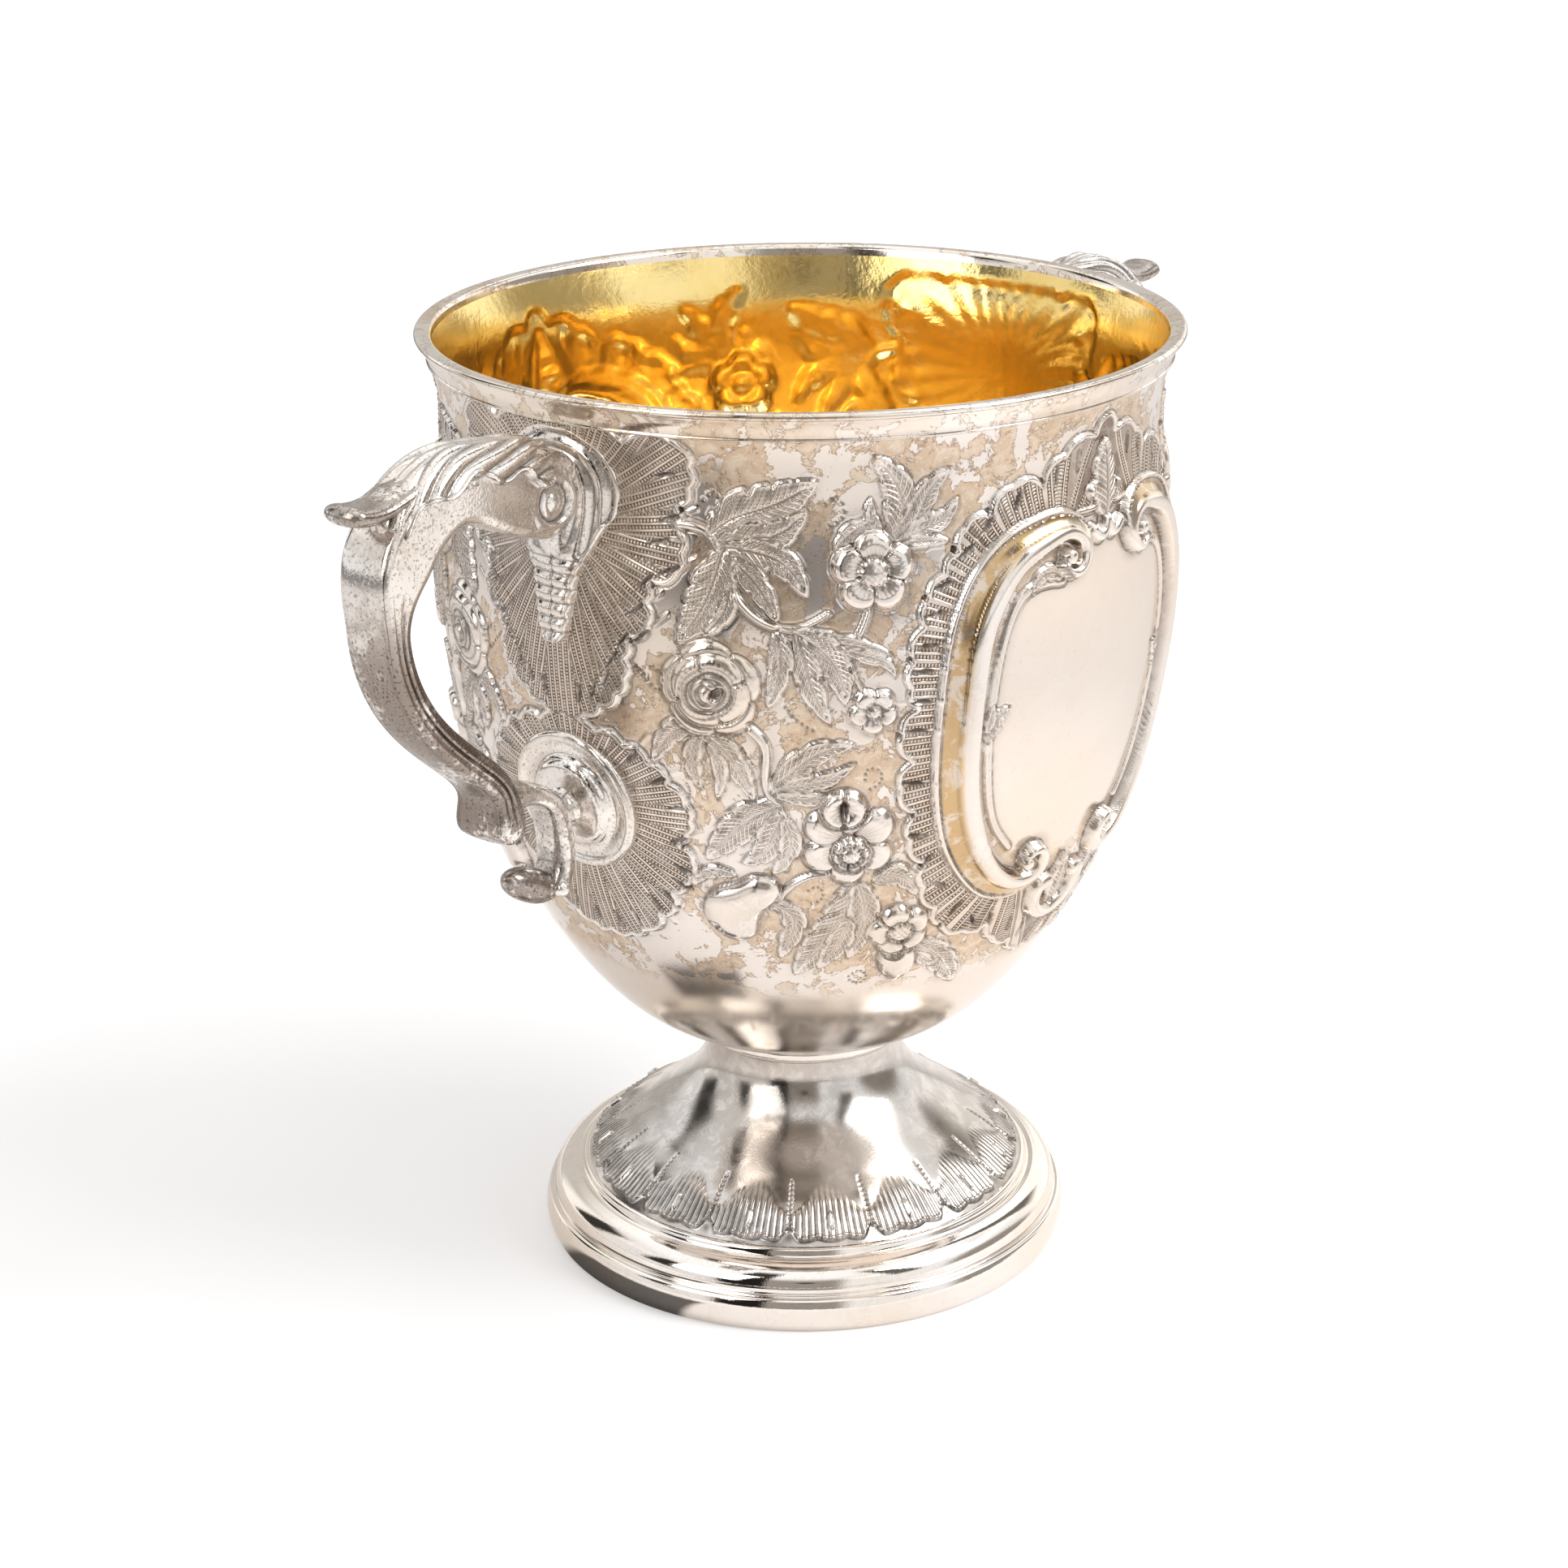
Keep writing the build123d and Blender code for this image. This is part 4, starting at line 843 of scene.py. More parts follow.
def strapSurface():
    # loop round the strap's side view, each point joined across the width; the two side faces close on its middle line
    count = 190
    line, run, left = frameAlong(handle["stations"], count)
    t = np.linspace(0, 1, count)
    half = strapHalf(t)
    arcEnd = np.linspace(0, pi, 18)[1:-1]
    arcHead = np.linspace(0, pi, 34)[1:-1]
    tip = lambda a, k, sign: left[k] * np.cos(a)[:, None] * sign + run[k] * np.sin(a)[:, None] * sign
    normal = np.vstack([left, tip(arcEnd, -1, 1), -left[::-1], tip(arcHead, 0, -1)])
    middle = np.vstack([line, np.repeat(line[-1:], len(arcEnd), 0), line[::-1], np.repeat(line[:1], len(arcHead), 0)])
    place = np.concatenate([t, np.ones(len(arcEnd)), t[::-1], np.zeros(len(arcHead))])
    outer = np.concatenate([np.ones(count), np.cos(arcEnd), -np.ones(count), -np.cos(arcHead)])
    reach = np.interp(place, t, half)
    width = handle["halfWidth"] + 0.35 * ease(place, 0.95, 1.0)
    grip = ease(place, 0.4, 0.55)
    round_ = 1.25
    face = np.linspace(0, 1, 12)[:-1]
    across = np.linspace(-1, 1, 33)
    rows = []
    marks = []
    for side in (-1, 1):
        # side face from the middle line out to the rounded edge: a groove and a bead along the inner edge of the grip
        f = face[None, :] if side < 0 else face[::-1][None, :]
        g = f * outer[:, None]
        sink = 0.4 * bump(g + 0.12, 0.17) - 0.22 * np.sqrt(np.clip(1 - ((g + 0.66) / 0.4) ** 2, 0, 1)) + 0.25 * bump(g - 0.85, 0.2)
        sink = sink * grip[:, None] * (1 - ease(place, 0.95, 0.995))[:, None]
        stretch = f * (reach[:, None] - round_) / reach[:, None] * np.ones_like(g)
        point = middle[:, None] + normal[:, None] * (stretch * reach[:, None])[..., None]
        toEye = point - np.array(handle["eye"])
        rho = np.hypot(toEye[..., 0], toEye[..., 1])
        alpha = np.arctan2(toEye[..., 1], toEye[..., 0])
        crescent = 0.5 - 0.5 * np.cos(alpha - 0.4)
        sink = sink - 0.55 * crescent * bump(rho - 3.6, 0.7) + 0.5 * bump(rho - 2.7, 0.3) + 0.35 * bump(rho - 5.1 + 0.35 * np.cos(alpha), 0.3) * crescent
        y = side * (width[:, None] - sink)
        rows.append(np.stack([point[..., 0], y, point[..., 1]], -1))
        marks.append(np.clip(0.5 * bump(rho - 2.7, 0.3) + 0.5 * bump(g + 0.12, 0.12) * grip[:, None] + 0.35 * (sink > 0.3), 0, 1))
        if side < 0:
            y = across[None, :] * width[:, None]
            over = np.clip((np.abs(y) - (width[:, None] - round_)) / round_, 0, 1)
            inset = round_ * (1 - np.sqrt(np.clip(1 - over**2, 0, 1)))
            belly = (0.35 * (1 - across[None, :] ** 2) - 0.12 * bump(np.abs(across)[None, :] - 0.74, 0.06)) * grip[:, None]
            point = middle[:, None] + normal[:, None] * (reach[:, None] - inset + belly)[..., None]
            rows.append(np.stack([point[..., 0], y, point[..., 1]], -1))
            marks.append(0.35 * bump(np.abs(across)[None, :] - 0.74, 0.05) * grip[:, None])
    xyz = np.concatenate(rows, axis=1)
    arch = 1 - ease(place, 0.42, 0.5)[:, None]
    capped = softMin(xyz[..., 2], crownLimit(xyz[..., 1]), 0.5)
    xyz[..., 2] = np.where(arch > 0, xyz[..., 2] * (1 - arch) + capped * arch, xyz[..., 2])
    tarnish = np.clip(0.25 + 0.75 * ease(place, 0.42, 0.6), 0, 1)[:, None] * np.ones(xyz.shape[:2])
    return xyz, np.concatenate(marks, axis=1), tarnish


strapXyz, strapDark, strapTarnish = strapSurface()
strapPieces = bothSides("strap", strapXyz, ringU=True, flip=True, marks={"dark": strapDark, "tarnish": strapTarnish}, weld=True)


def leafSurface():
    # leaf laid over the arch: half-oval sections with slanting flutes, a wavy beaded edge and a rim that turns under
    count, wide = ((150, 97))
    t = np.linspace(0.0, handle["leafEnd"], count)
    line, run, left = frameAlong(handle["stations"], 400)
    at = lambda field: np.stack([np.interp(t, np.linspace(0, 1, 400), field[:, i]) for i in (0, 1)], -1)
    line, left = at(line), at(left)
    a = np.linspace(-1, 1, wide)[None, :]
    share = (t / handle["leafEnd"])[:, None]
    wave = 0.5 + 0.5 * np.cos(2 * pi * (3.4 * share + 0.15))
    limit = np.radians(86 - 16 * wave - 22 * ease(share, 0.72, 1.0))
    beta = limit * a
    thick = handle["leafThick"]
    top = np.minimum(strapHalf(t) + thick, (handle["crownSpring"] + handle["crownRise"] + thick - line[:, 1]) / np.maximum(left[:, 1], 0.45))
    side = handle["crownHalf"] + 0.4
    flute = np.abs(np.sin(pi * (14.5 * t[:, None] - 3.0 * np.abs(beta) / 1.4)))
    rim = 1 - np.abs(a)
    swell = 0.55 * flute**0.7 * ease(np.abs(a), 0.03, 0.2) - 0.1 + 0.45 * bump(rim - 0.05, 0.035) - 1.5 * (1 - ease(rim, 0.0, 0.03)) ** 2
    swell = swell + 0.25 * bump(a, 0.05)
    swell = swell * ease(share, 0.0, 0.04) - 1.3 * (1 - ease(share, 0.0, 0.04)) - 1.3 * ease(share, 0.97, 1.0)
    up = (top[:, None] + swell) * np.abs(np.cos(beta)) ** 0.85
    y = (side + swell) * np.sign(a) * np.abs(np.sin(beta)) ** 0.85
    point = line[:, None] + left[:, None] * up[..., None]
    lines = np.clip(0.75 * (1 - flute) ** 2 * ease(np.abs(a), 0.05, 0.2) + 0.5 * bump(rim - 0.1, 0.02), 0, 1)
    return np.stack([point[..., 0], y, point[..., 1]], -1), lines


leafXyz, leafDark = leafSurface()
leafPieces = bothSides("acanthus_leaf", leafXyz, flip=True, marks={"dark": leafDark, "tarnish": 0.25})


def sweep(stations, count, halfWide, halfThick, power=2.6, ends=0.2, segments=28, under=0.0):
    # superellipse sections along a line in the XZ plane, closing round at both ends
    line, run, left = frameAlong(stations, count)
    t = np.linspace(0, 1, count)
    close = np.sqrt(np.clip(1 - np.clip((ends - np.minimum(t, 1 - t)) / ends, 0, 1) ** 2, 0, 1)) if ends else np.ones(count)
    wide = np.interp(t, np.linspace(0, 1, len(halfWide)), halfWide) * close
    thick = np.interp(t, np.linspace(0, 1, len(halfThick)), halfThick) * close
    a = np.linspace(0, 2 * pi, segments, endpoint=False)
    c, s = np.cos(a), np.sin(a)
    n = np.sign(c) * np.abs(c) ** (2 / power)
    w = np.sign(s) * np.abs(s) ** (2 / power)
    point = line[:, None] + left[:, None] * (n[None, :] * thick[:, None])[..., None]
    return np.stack([point[..., 0], w[None, :] * wide[:, None], point[..., 1]], -1)


tongueXyz = sweep([(82.4, 143.0), (86.5, 142.3), (91.0, 141.2), (95.0, 141.2), (98.0, 142.0)], 60, [4.2, 3.9, 3.6, 3.7, 3.6], [2.2, 1.7, 1.35, 1.5, 1.5], 2.3, 0.12, 36)
tonguePieces = bothSides("thumb_tongue", tongueXyz, ringV=True, flip=True, weld=True, marks={"dark": 0.0, "tarnish": 0.8})


def shellSurface():
    # teardrop on the wall: nested folds round the head, cross ribs down the tail, a middle line
    rows, wide = ((190, 81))
    z = np.linspace(145.4, 113.4, rows)[:, None]
    v = np.linspace(-1, 1, wide)[None, :]
    head = 10.5 * np.sqrt(np.clip(1 - ((z - 136.4) / 9.0) ** 2, 0, 1))
    tail = np.interp(z[:, 0], [113.4, 114.2, 116, 124, 131.5], [0.0, 2.0, 2.9, 4.3, 8.6])[:, None]
    halfWide = np.where(z > 131.7, head, tail)
    y = v * halfWide
    rho = np.hypot(y / 10.5, (z - 136.4) / np.where(z > 136.4, 9.0, 23.0))
    folds = 3.7 * (1 - rho) + 0.4 * np.abs(np.sin(pi * 4.6 * rho)) - 0.1
    edge = np.minimum((1 - np.abs(v)) * halfWide, np.minimum(145.4 - z, z - 113.4))
    ribs = 1.5 + 0.45 * np.abs(np.sin(pi * (z - 113.4) / 2.15)) - 0.35 * bump(y, 0.18) - 0.9 * (np.abs(v)) ** 3
    toTail = ease(z, 124.0, 129.5)
    height = folds * toTail + ribs * (1 - toTail)
    height = height * ease(edge, -0.05, 0.8) + 0.35 * bump(edge - 0.5, 0.35) - 0.4 * (1 - ease(edge, 0.0, 0.1))
    wall = radiusAt(z) * np.ones_like(v)
    x = np.sqrt(np.maximum((wall + height) ** 2 - y**2, 1))
    lines = (1 - np.abs(np.sin(pi * 4.6 * rho))) ** 4 * toTail + (1 - toTail) * (1 - np.abs(np.sin(pi * (z - 113.4) / 2.15))) ** 5 + 0.6 * bump(y, 0.15) * (1 - toTail)
    return np.stack([x, y, z * np.ones_like(v)], -1), np.clip(0.9 * lines, 0, 1)


shellXyz, shellDark = shellSurface()
shellPieces = bothSides("shell_plate", shellXyz, marks={"dark": shellDark, "tarnish": 0.15})


def spunOn(profile, origin, axis, around):
    # a profile of (distance along the axis, radius) turned about an axis in the XZ plane
    profile = np.asarray(profile, float)
    axis = np.array([axis[0], 0.0, axis[1]]) / math.hypot(*axis)
    second = np.array([0.0, 1.0, 0.0])
    third = np.cross(axis, second)
    a = np.linspace(0, 2 * pi, around, endpoint=False)
    ring = np.cos(a)[:, None] * second + np.sin(a)[:, None] * third
    return np.array([origin[0], 0.0, origin[1]]) + profile[None, :, 0, None] * axis + ring[:, None] * profile[None, :, 1, None]


bossTilt = math.radians(10)
bossAxis = (math.cos(bossTilt), -math.sin(bossTilt))
bossFoot = (float(radiusAt(89.0)), 89.0)
bossProfile = np.vstack([
    [(-0.6, 0.0), (-0.8, 4.0), (-1.7, 11.0)],   # its back lies within the wall
    smoothLine([(-0.4, 11.0), (0.5, 11.05), (1.15, 10.7), (1.35, 10.1), (1.2, 9.6)], 12),
    smoothLine([(1.0, 9.3), (0.85, 8.4), (1.05, 7.4), (1.5, 6.9)], 10),
    smoothLine([(1.7, 6.85), (2.2, 6.4), (2.6, 5.2), (2.75, 4.0), (3.0, 3.1)], 12),
    [(3.0, 0.0)],
])
bossPieces = bothSides("boss", spunOn(bossProfile, bossFoot, bossAxis, 120), ringU=True, flip=True, weld=True, marks={"dark": 0.0, "tarnish": 0.2})
stubProfile = smoothLine([(2.6, 3.3), (3.4, 2.7), (5.0, 2.5), (6.6, 2.8)], 10)
stubPieces = bothSides("boss_stub", spunOn(np.vstack([[(2.6, 0.0)], stubProfile, [(6.6, 0.0)]]), bossFoot, bossAxis, 48), ringU=True, flip=True,
                       weld=True, marks={"dark": 0.0, "tarnish": 0.4})
curlXyz = sweep([(71.0, 92.8), (68.2, 93.4), (64.9, 93.2), (60.3, 90.4), (58.5, 85.5), (58.5, 80.4), (60.3, 76.2)], 110,
                [3.0, 3.0, 3.1, 3.1, 3.1, 2.9], [1.9, 1.6, 1.65, 1.7, 1.65, 1.9], 3.0, 0.06, 32)
curlPieces = bothSides("lower_curl", curlXyz, ringV=True, flip=True, weld=True, marks={"dark": 0.0, "tarnish": 0.6})
budProfile = smoothLine([(-0.5, 1.5), (1.6, 2.35), (4.2, 2.6), (7.4, 2.25), (9.6, 1.3), (10.6, 0.0)], 30)
budPitch = math.radians(26)
budPieces = bothSides("bud", spunOn(np.vstack([[(-0.5, 0.0)], budProfile]), (60.1, 76.8), (math.cos(budPitch), math.sin(budPitch)), 48), ringU=True,
                      flip=True, weld=True, marks={"dark": 0.0, "tarnish": 0.95})


def button(centre, radius, reach, lift):
    # round button with a soft edge on both faces of the scroll
    profile = [(-reach - lift, 0.0), (-reach - lift * 0.8, radius * 0.5), (-reach - lift * 0.3, radius * 0.86), (-reach, radius), (reach, radius),
               (reach + lift * 0.3, radius * 0.86), (reach + lift * 0.8, radius * 0.5), (reach + lift, 0.0)]
    profile = np.asarray(profile)
    a = np.linspace(0, 2 * pi, 40, endpoint=False)
    x = centre[0] + np.cos(a)[:, None] * profile[None, :, 1]
    z = centre[1] + np.sin(a)[:, None] * profile[None, :, 1]
    return np.stack([x, np.broadcast_to(profile[None, :, 0], x.shape), z], -1)


eyePieces = bothSides("scroll_eye", button(handle["eye"], 1.75, 4.3, 0.8), ringU=True, weld=True, marks={"dark": 0.0, "tarnish": 0.1})
beadPieces = bothSides("curl_bead", button((59.8, 77.4), 1.25, 2.8, 0.9), ringU=True, weld=True, marks={"dark": 0.0, "tarnish": 0.1})
print("handles made")


# finishes
def silver(name, tone, toneDark, shine, stains=0.5, speckle=0.3, wavy=0.1, punched=False):
    # polished silver: warm stains with crisp edges in the ground, dark in the lines, fine wear on top
    s = Shader(name)
    where = s.place()
    line = s.mark("dark")
    low = s.mark("hollow")
    high = s.mark("worn")
    broad = s.noise(where, 13.0, 4.0, 0.6, 0.6)
    crisp = s.noise(where, 3.2, 7.0, 0.68, 0.5)
    dust = s.noise(where, 0.7, 3.0, 0.7)
    drift = broad * 0.5 + crisp * 0.5
    stain = drift.step(0.497, 0.504) * (1 - 0.6 * dust.step(0.58, 0.64)) * stains
    crackle = (1 - (drift - 0.5).part("ABSOLUTE").step(0.002, 0.012)) * stains
    film = s.noise(where, 38.0, 2.0, 0.5).step(0.35, 0.7)
    if punched:
        bare = s.mark("plain")
        keep = (s.mark("ground") * 0.8 + 0.2) * (1 - 0.95 * bare)
        stain = stain * keep
        crackle = crackle * keep
        film = film * (1 - bare) + bare * (0.55 + 0.6 * film)
    else:
        stain = stain * (0.25 + 0.75 * film)
    colour = s.mixColour(film * 0.7, tone, tuple(c * w for c, w in zip(tone, (0.94, 0.87, 0.77))))
    tan = s.mixColour(crisp.step(0.46, 0.64), (0.6, 0.43, 0.27), (0.76, 0.62, 0.47))
    colour = s.mixColour(stain * 0.82, colour, tan)
    if punched:
        colour = s.mixColour(s.mark("amber") * (0.35 + 0.65 * crisp.step(0.4, 0.5)), colour, (0.66, 0.46, 0.24))
    colour = s.mixColour(crackle * 0.75, colour, (0.27, 0.17, 0.1))
    colour = s.mixColour(low * 0.55, colour, (0.34, 0.28, 0.24))
    spots = dust.step(0.66 - 0.12 * speckle, 0.74) * speckle
    colour = s.mixColour(spots, colour, toneDark)
    colour = s.mixColour(high * 0.35, colour, (0.95, 0.93, 0.9))
    roughness = shine + stain * 0.16 + spots * 0.25 + film * 0.03
    height = s.noise(where, 0.35, 2.0, 0.6) * 0.03 + s.noise(where, 9.0, 2.0, 0.5) * wavy - stain * 0.04
    if punched:
        at = s.mark("scaleAt", vector=True)
        split = s.node("ShaderNodeSeparateXYZ", {}, {0: at})
        row = s.node("ShaderNodeSeparateXYZ", {}, {0: at}, out=1)
        odd = (row.part("FLOOR") * 0.5).part("FRACT")
        u = (split + odd).part("FRACT") - 0.5
        v = row.part("FRACT") - 0.5
        # a row is a sunk channel with a bead in each cell and brown between the beads
        channel = 1 - v.part("ABSOLUTE").step(0.24, 0.4)
        bead = 1 - (u * u + v * v * 2.2).part("SQRT").step(0.24, 0.46)
        mask = s.mark("scaled")
        height = height + (bead * 0.4 - channel * 0.6) * mask
        colour = s.mixColour(mask * 0.3, colour, (0.62, 0.5, 0.38))
        colour = s.mixColour(channel * (1 - 0.85 * bead) * mask * (0.7 + 0.3 * crisp.step(0.4, 0.55)), colour, (0.14, 0.09, 0.06))
        roughness = roughness + mask * 0.06
    line = line * (0.55 + 0.45 * crisp.step(0.35, 0.6))
    colour = s.mixColour(line * 0.92, colour, (0.085, 0.07, 0.062))
    roughness = roughness + line * 0.3
    normal = s.relief(height, 0.22)
    return s.surface(colour=colour, metal=1.0, roughness=roughness, normal=normal)


def castSilver(name):
    # cast handle silver: dark brown bloom broken up by rubbing, black in the hollows, bright on the ridges
    s = Shader(name)
    where = s.place()
    line = s.mark("dark")
    bloom = s.mark("tarnish")
    cloud = s.noise(where, 7.0, 5.0, 0.68, 0.4)
    grain = s.noise(where, 0.9, 4.0, 0.75, 0.3)
    pits = s.noise(where, 0.45, 2.0, 0.6)
    patch = (cloud * 0.6 + grain * 0.4 + bloom * 0.14).step(0.5, 0.62) * bloom
    colour = s.mixColour(s.noise(where, 14.0, 2.0).step(0.4, 0.7) * 0.6, (0.9, 0.865, 0.83), (0.8, 0.72, 0.64))
    colour = s.mixColour(patch * 0.82, colour, (0.2, 0.15, 0.12))
    specks = pits.step(0.58, 0.66) * (0.3 + 0.7 * bloom)
    colour = s.mixColour(specks * 0.8, colour, (0.1, 0.08, 0.07))
    colour = s.mixColour(line * 0.9, colour, (0.08, 0.065, 0.055))
    roughness = 0.08 + patch * 0.14 + specks * 0.2 + line * 0.3
    height = grain * 0.07 + pits * 0.06 - specks * 0.2 + cloud * 0.06
    return s.surface(colour=colour, metal=1.0, roughness=roughness, normal=s.relief(height, 0.25))


def giltFinish(name):
    # fire gilding: deep amber, paler where it has worn, pooled darker in the hollows
    s = Shader(name)
    where = s.place()
    low = s.mark("hollow")
    patch = s.noise(where, 11.0, 4.0, 0.6, 0.5)
    fine = s.noise(where, 1.6, 4.0, 0.65)
    colour = s.mixColour(patch.step(0.35, 0.7), (1.0, 0.79, 0.36), (0.97, 0.72, 0.27))
    colour = s.mixColour(fine.step(0.6, 0.72) * 0.4, colour, (1.0, 0.82, 0.45))
    colour = s.mixColour(low * 0.3, colour, (0.86, 0.56, 0.18))
    roughness = 0.1 + patch * 0.1 + fine * 0.05
    return s.surface(colour=colour, metal=1.0, roughness=roughness, normal=s.relief(fine * 0.2 + patch * 0.6, 0.3))


chasedSilver = silver("chased silver", (0.86, 0.81, 0.775), (0.2, 0.15, 0.12), 0.12, stains=0.95, speckle=0.22, wavy=0.22, punched=True)
plainSilver = silver("turned silver", (0.9, 0.865, 0.835), (0.25, 0.2, 0.16), 0.035, stains=0.12, speckle=0.12, wavy=0.03)
rimSilver = silver("lip silver", (0.88, 0.83, 0.78), (0.3, 0.22, 0.16), 0.08, stains=0.8, speckle=0.3)
handleSilver = castSilver("cast silver")
gilt = giltFinish("fire gilding")

for piece in chased:
    putOn(piece, chasedSilver, "silver_gilt_inside", "bowl")
putOn(giltInside, gilt, "silver_gilt_inside", "bowl")
putOn(lipMoulding, rimSilver, "silver", "lip_wire")
putOn(collarBead, plainSilver, "silver", "foot_collar")
putOn(footMoulding, plainSilver, "silver", "foot_ring")
putOn(chasedFoot, plainSilver, "silver", "foot_dome")
for name, pieces in {"strap": strapPieces, "acanthus_leaf": leafPieces, "thumb_tongue": tonguePieces, "shell_plate": shellPieces, "boss": bossPieces,
                     "boss_stub": stubPieces, "lower_curl": curlPieces, "bud": budPieces, "scroll_eye": eyePieces, "curl_bead": beadPieces}.items():
    for side, piece in zip(("right", "left"), pieces):
        putOn(piece, handleSilver, "cast_silver", "handle_" + side + "_" + name)
print("finishes on")

# floor, lights and camera
studio = {
    "floor": 3.0,
    "camera": (-0.3800, -0.2969, 0.2588),
    "heading": 38.353, "pitch": 20.880, "roll": -0.431,   # degrees
    "lens": 74.453,
}


def makeFloor():
    # the camera sees white paper; the metal sees painted light and shade on it: lit near the cup and to the right, grey
    # elsewhere, with a painted flag shadow, a painted dark patch by the foot and painted shade on the far left
    s = Shader("white floor")
    at = s.node("ShaderNodeTexCoord", out="Object")
    x, y = (s.node("ShaderNodeSeparateXYZ", {}, {0: at}, out=i) for i in (0, 1))
    c, sn = math.cos(math.radians(studio["heading"])), math.sin(math.radians(studio["heading"]))
    away = (x * x + y * y).part("SQRT") + 0.001
    side = (x * sn - y * c) / away
    near = x * (-c) - y * sn
    tone = 0.66 + 0.2 * (1 - away.step(0.13, 0.27)) + 0.04 * side.step(0.5, 0.8)
    # painted shadow of a black flag on the floor to the front left, seen only in the metal
    flagShadow = (1 - (side + 0.45).part("ABSOLUTE").step(0.07, 0.12)) * near.step(0.0, 0.05) * away.step(0.2, 0.3)
    # painted shade: a dark patch on the floor just beside the foot on the camera's left, seen only in the metal
    close = (1 - away.step(0.056, 0.064)) * (1 - (side + 0.68).part("ABSOLUTE").step(0.2, 0.25)) * near.step(0.0, 0.01)
    # painted shade on the floor as the metal sees it: the flag shadow, the dark patch by the foot, and the far left
    # darkened
    tone = tone * (1 - 0.7 * flagShadow) * (1 - 0.85 * close) * (1 - 0.6 * away.step(0.5, 0.9) * (1 - side.step(0.4, 0.7)))
    grey = s.mixColour(tone, (0.0, 0.0, 0.0), (1.0, 0.965, 0.945))
    mirrored = s.node("ShaderNodeBsdfDiffuse", {}, {"Color": grey})
    seen = s.node("ShaderNodeLightPath", out="Is Camera Ray")
    diffuse = s.node("ShaderNodeBsdfDiffuse", {}, {"Color": (0.86, 0.86, 0.87, 1.0)})
    # the far floor is lifted to white, so that it has no edge against the backdrop
    glow = s.mixColour(away.step(0.35, 1.4), (0.08, 0.08, 0.08), (0.8, 0.8, 0.8))
    lit = s.node("ShaderNodeEmission", {}, {"Color": glow, "Strength": 1.0})
    both = s.node("ShaderNodeAddShader", {}, {0: diffuse, 1: lit})
    end = s.tree.nodes.new("ShaderNodeOutputMaterial")
    pick = s.node("ShaderNodeMixShader", {}, {0: seen, 1: mirrored, 2: both})
    s.tree.links.new(pick.socket, end.inputs["Surface"])
    size = studio["floor"] * 1000
    u, v = np.meshgrid(np.linspace(-size, size, 9), np.linspace(-size, size, 9), indexing="ij")
    floor = makeSheet("floor", np.stack([u, v, 0 * u - 0.02], -1))
    floor.data.materials.append(s.material)


def areaLight(name, at, aim, size, power, colour=(1.0, 1.0, 1.0)):
    lamp = bpy.data.lights.new(name, "AREA")
    lamp.shape = "RECTANGLE"
    lamp.size, lamp.size_y = size
    lamp.energy = power
    lamp.color = colour
    holder = bpy.data.objects.new(name, lamp)
    bpy.context.scene.collection.objects.link(holder)
    away = np.array(at, float) - np.array(aim, float)
    away /= np.linalg.norm(away)
    right = np.cross((0, 0, 1.0), away)
    right /= np.linalg.norm(right)
    up = np.cross(away, right)
    turn = Matrix([[right[i], up[i], away[i], at[i]] for i in range(3)] + [[0, 0, 0, 1]])
    holder.matrix_world = turn
    return holder


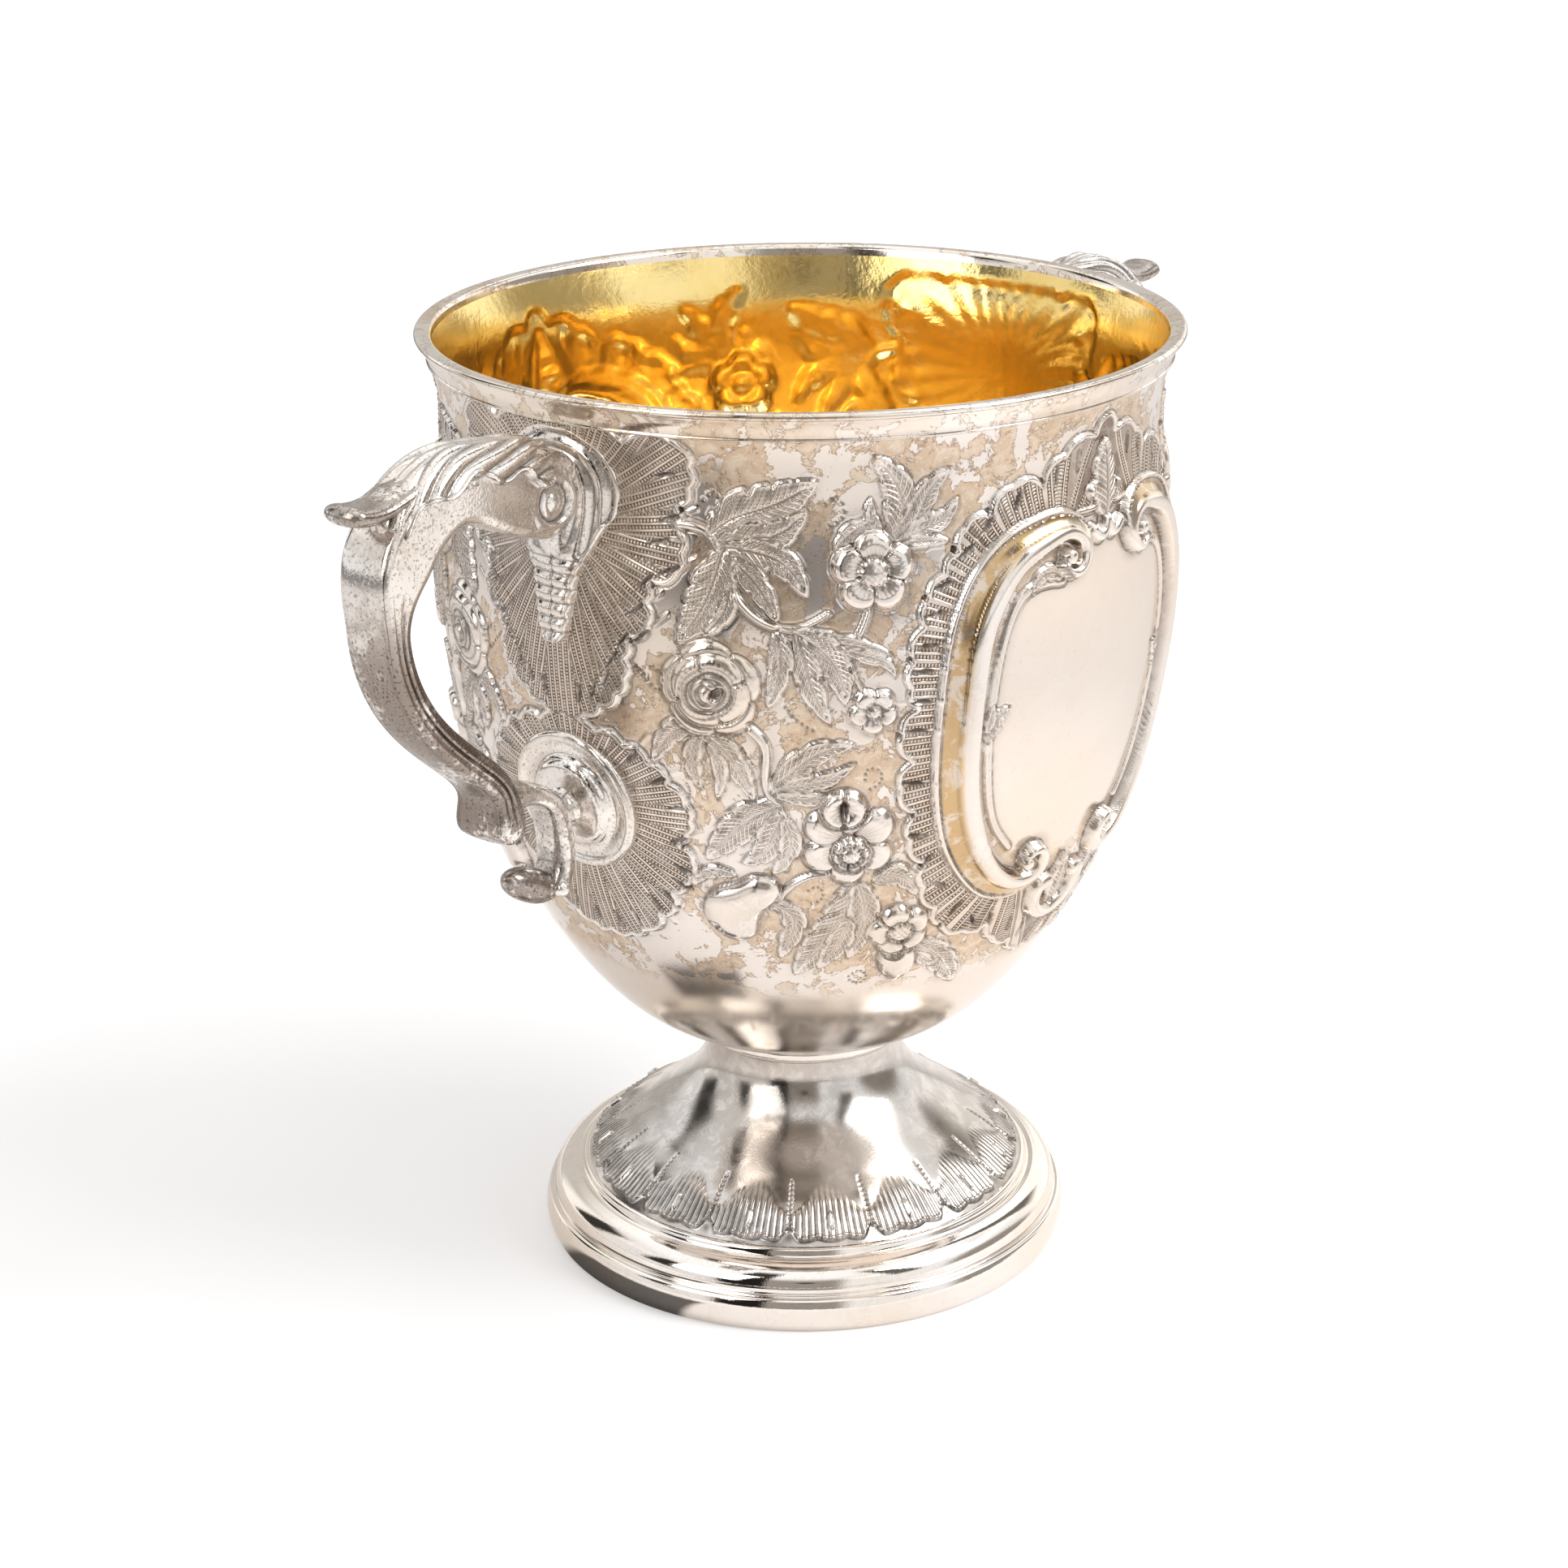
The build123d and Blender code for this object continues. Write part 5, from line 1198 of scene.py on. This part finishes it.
def makeWorld():
    # white all round for the camera; metal sees a tent that is white above and at the sides, with darker bands
    world = bpy.data.worlds.new("studio")
    bpy.context.scene.world = world
    s = Shader("studio", owner=world)
    at = s.node("ShaderNodeTexCoord", out="Generated")
    split = lambda i: s.node("ShaderNodeSeparateXYZ", {}, {0: at}, out=i)
    x, y, z = split(0), split(1), split(2)
    c, sn = math.cos(math.radians(studio["heading"])), math.sin(math.radians(studio["heading"]))
    ahead = x * c + y * sn        # away from the camera's side of the cup
    right = x * sn - y * c
    front = (ahead * -1.0).step(0.1, 0.8)
    # softboxes to the right and left, a lit ceiling, and black flags that give the metal its dark edges
    rightBox = right.step(0.18, 0.34) * (1 - right.step(0.84, 0.95)) * (1 - z.step(0.6, 0.75))
    leftBox = (right * -1.0).step(0.55, 0.7) * (1 - z.step(0.55, 0.75))
    ceiling = z.step(0.45, 0.85)
    back = ahead.step(0.2, 0.7)
    level = 0.4 + 0.6 * rightBox + 0.5 * leftBox + 0.75 * ceiling + 0.3 * back
    side = right / ((right * right + ahead * ahead).part("SQRT") + 0.001)
    leftFlag = (1 - (side + 0.46).part("ABSOLUTE").step(0.13, 0.18)) * (1 - z.step(0.9, 0.97)) * (ahead * -1.0).step(0.0, 0.12)
    rightFlag = (1 - (side - 0.72).part("ABSOLUTE").step(0.07, 0.1)) * (1 - z.step(0.88, 0.95)) * z.step(0.3, 0.5)
    lens = (1 - (right * right + (z - 0.36) * (z - 0.36)).part("SQRT").step(0.05, 0.09)) * front
    sideFlag = (1 - (side + 0.9).part("ABSOLUTE").step(0.05, 0.08)) * (1 - z.step(0.6, 0.72)) * z.step(0.1, 0.2)
    leftFlag = leftFlag + (1 - leftFlag) * sideFlag
    shade = (1 - 0.95 * leftFlag) * (1 - 0.85 * rightFlag) * (1 - 0.8 * lens)
    tent = level * shade
    warm = s.mixColour(level.step(0.4, 0.95) * shade, (0.86, 0.78, 0.69), (1.0, 0.995, 0.985))
    camera = s.node("ShaderNodeLightPath", out="Is Camera Ray")
    strength = camera + (1 - camera) * tent
    colour = s.mixColour(camera, warm, (1.0, 1.0, 1.0))
    back = s.node("ShaderNodeBackground", {}, {"Color": colour, "Strength": strength})
    end = s.tree.nodes.new("ShaderNodeOutputWorld")
    s.tree.links.new(back.socket, end.inputs["Surface"])


def makeCamera():
    head, pitch, roll = (math.radians(studio[k]) for k in ("heading", "pitch", "roll"))
    flat = np.array([math.cos(head), math.sin(head), 0.0])
    right = np.array([math.sin(head), -math.cos(head), 0.0])
    ahead = math.cos(pitch) * flat - math.sin(pitch) * np.array([0, 0, 1.0])
    up = math.sin(pitch) * flat + math.cos(pitch) * np.array([0, 0, 1.0])
    right, up = math.cos(roll) * right + math.sin(roll) * up, math.cos(roll) * up - math.sin(roll) * right
    data = bpy.data.cameras.new("camera")
    data.lens = studio["lens"]
    data.sensor_width = data.sensor_height = 36.0
    data.clip_start, data.clip_end = 0.01, 50.0
    camera = bpy.data.objects.new("camera", data)
    bpy.context.scene.collection.objects.link(camera)
    camera.matrix_world = Matrix([[right[i], up[i], -ahead[i], studio["camera"][i]] for i in range(3)] + [[0, 0, 0, 1]])
    bpy.context.scene.camera = camera


makeFloor()
makeWorld()
areaLight("key", (0.35, -0.75, 0.95), (0, 0, 0.08), (0.7, 0.7), 9.0)
areaLight("fill", (-0.95, 0.1, 0.6), (0, 0, 0.08), (0.6, 0.8), 3.0)
makeCamera()
bpy.context.scene.view_settings.view_transform = "Standard"
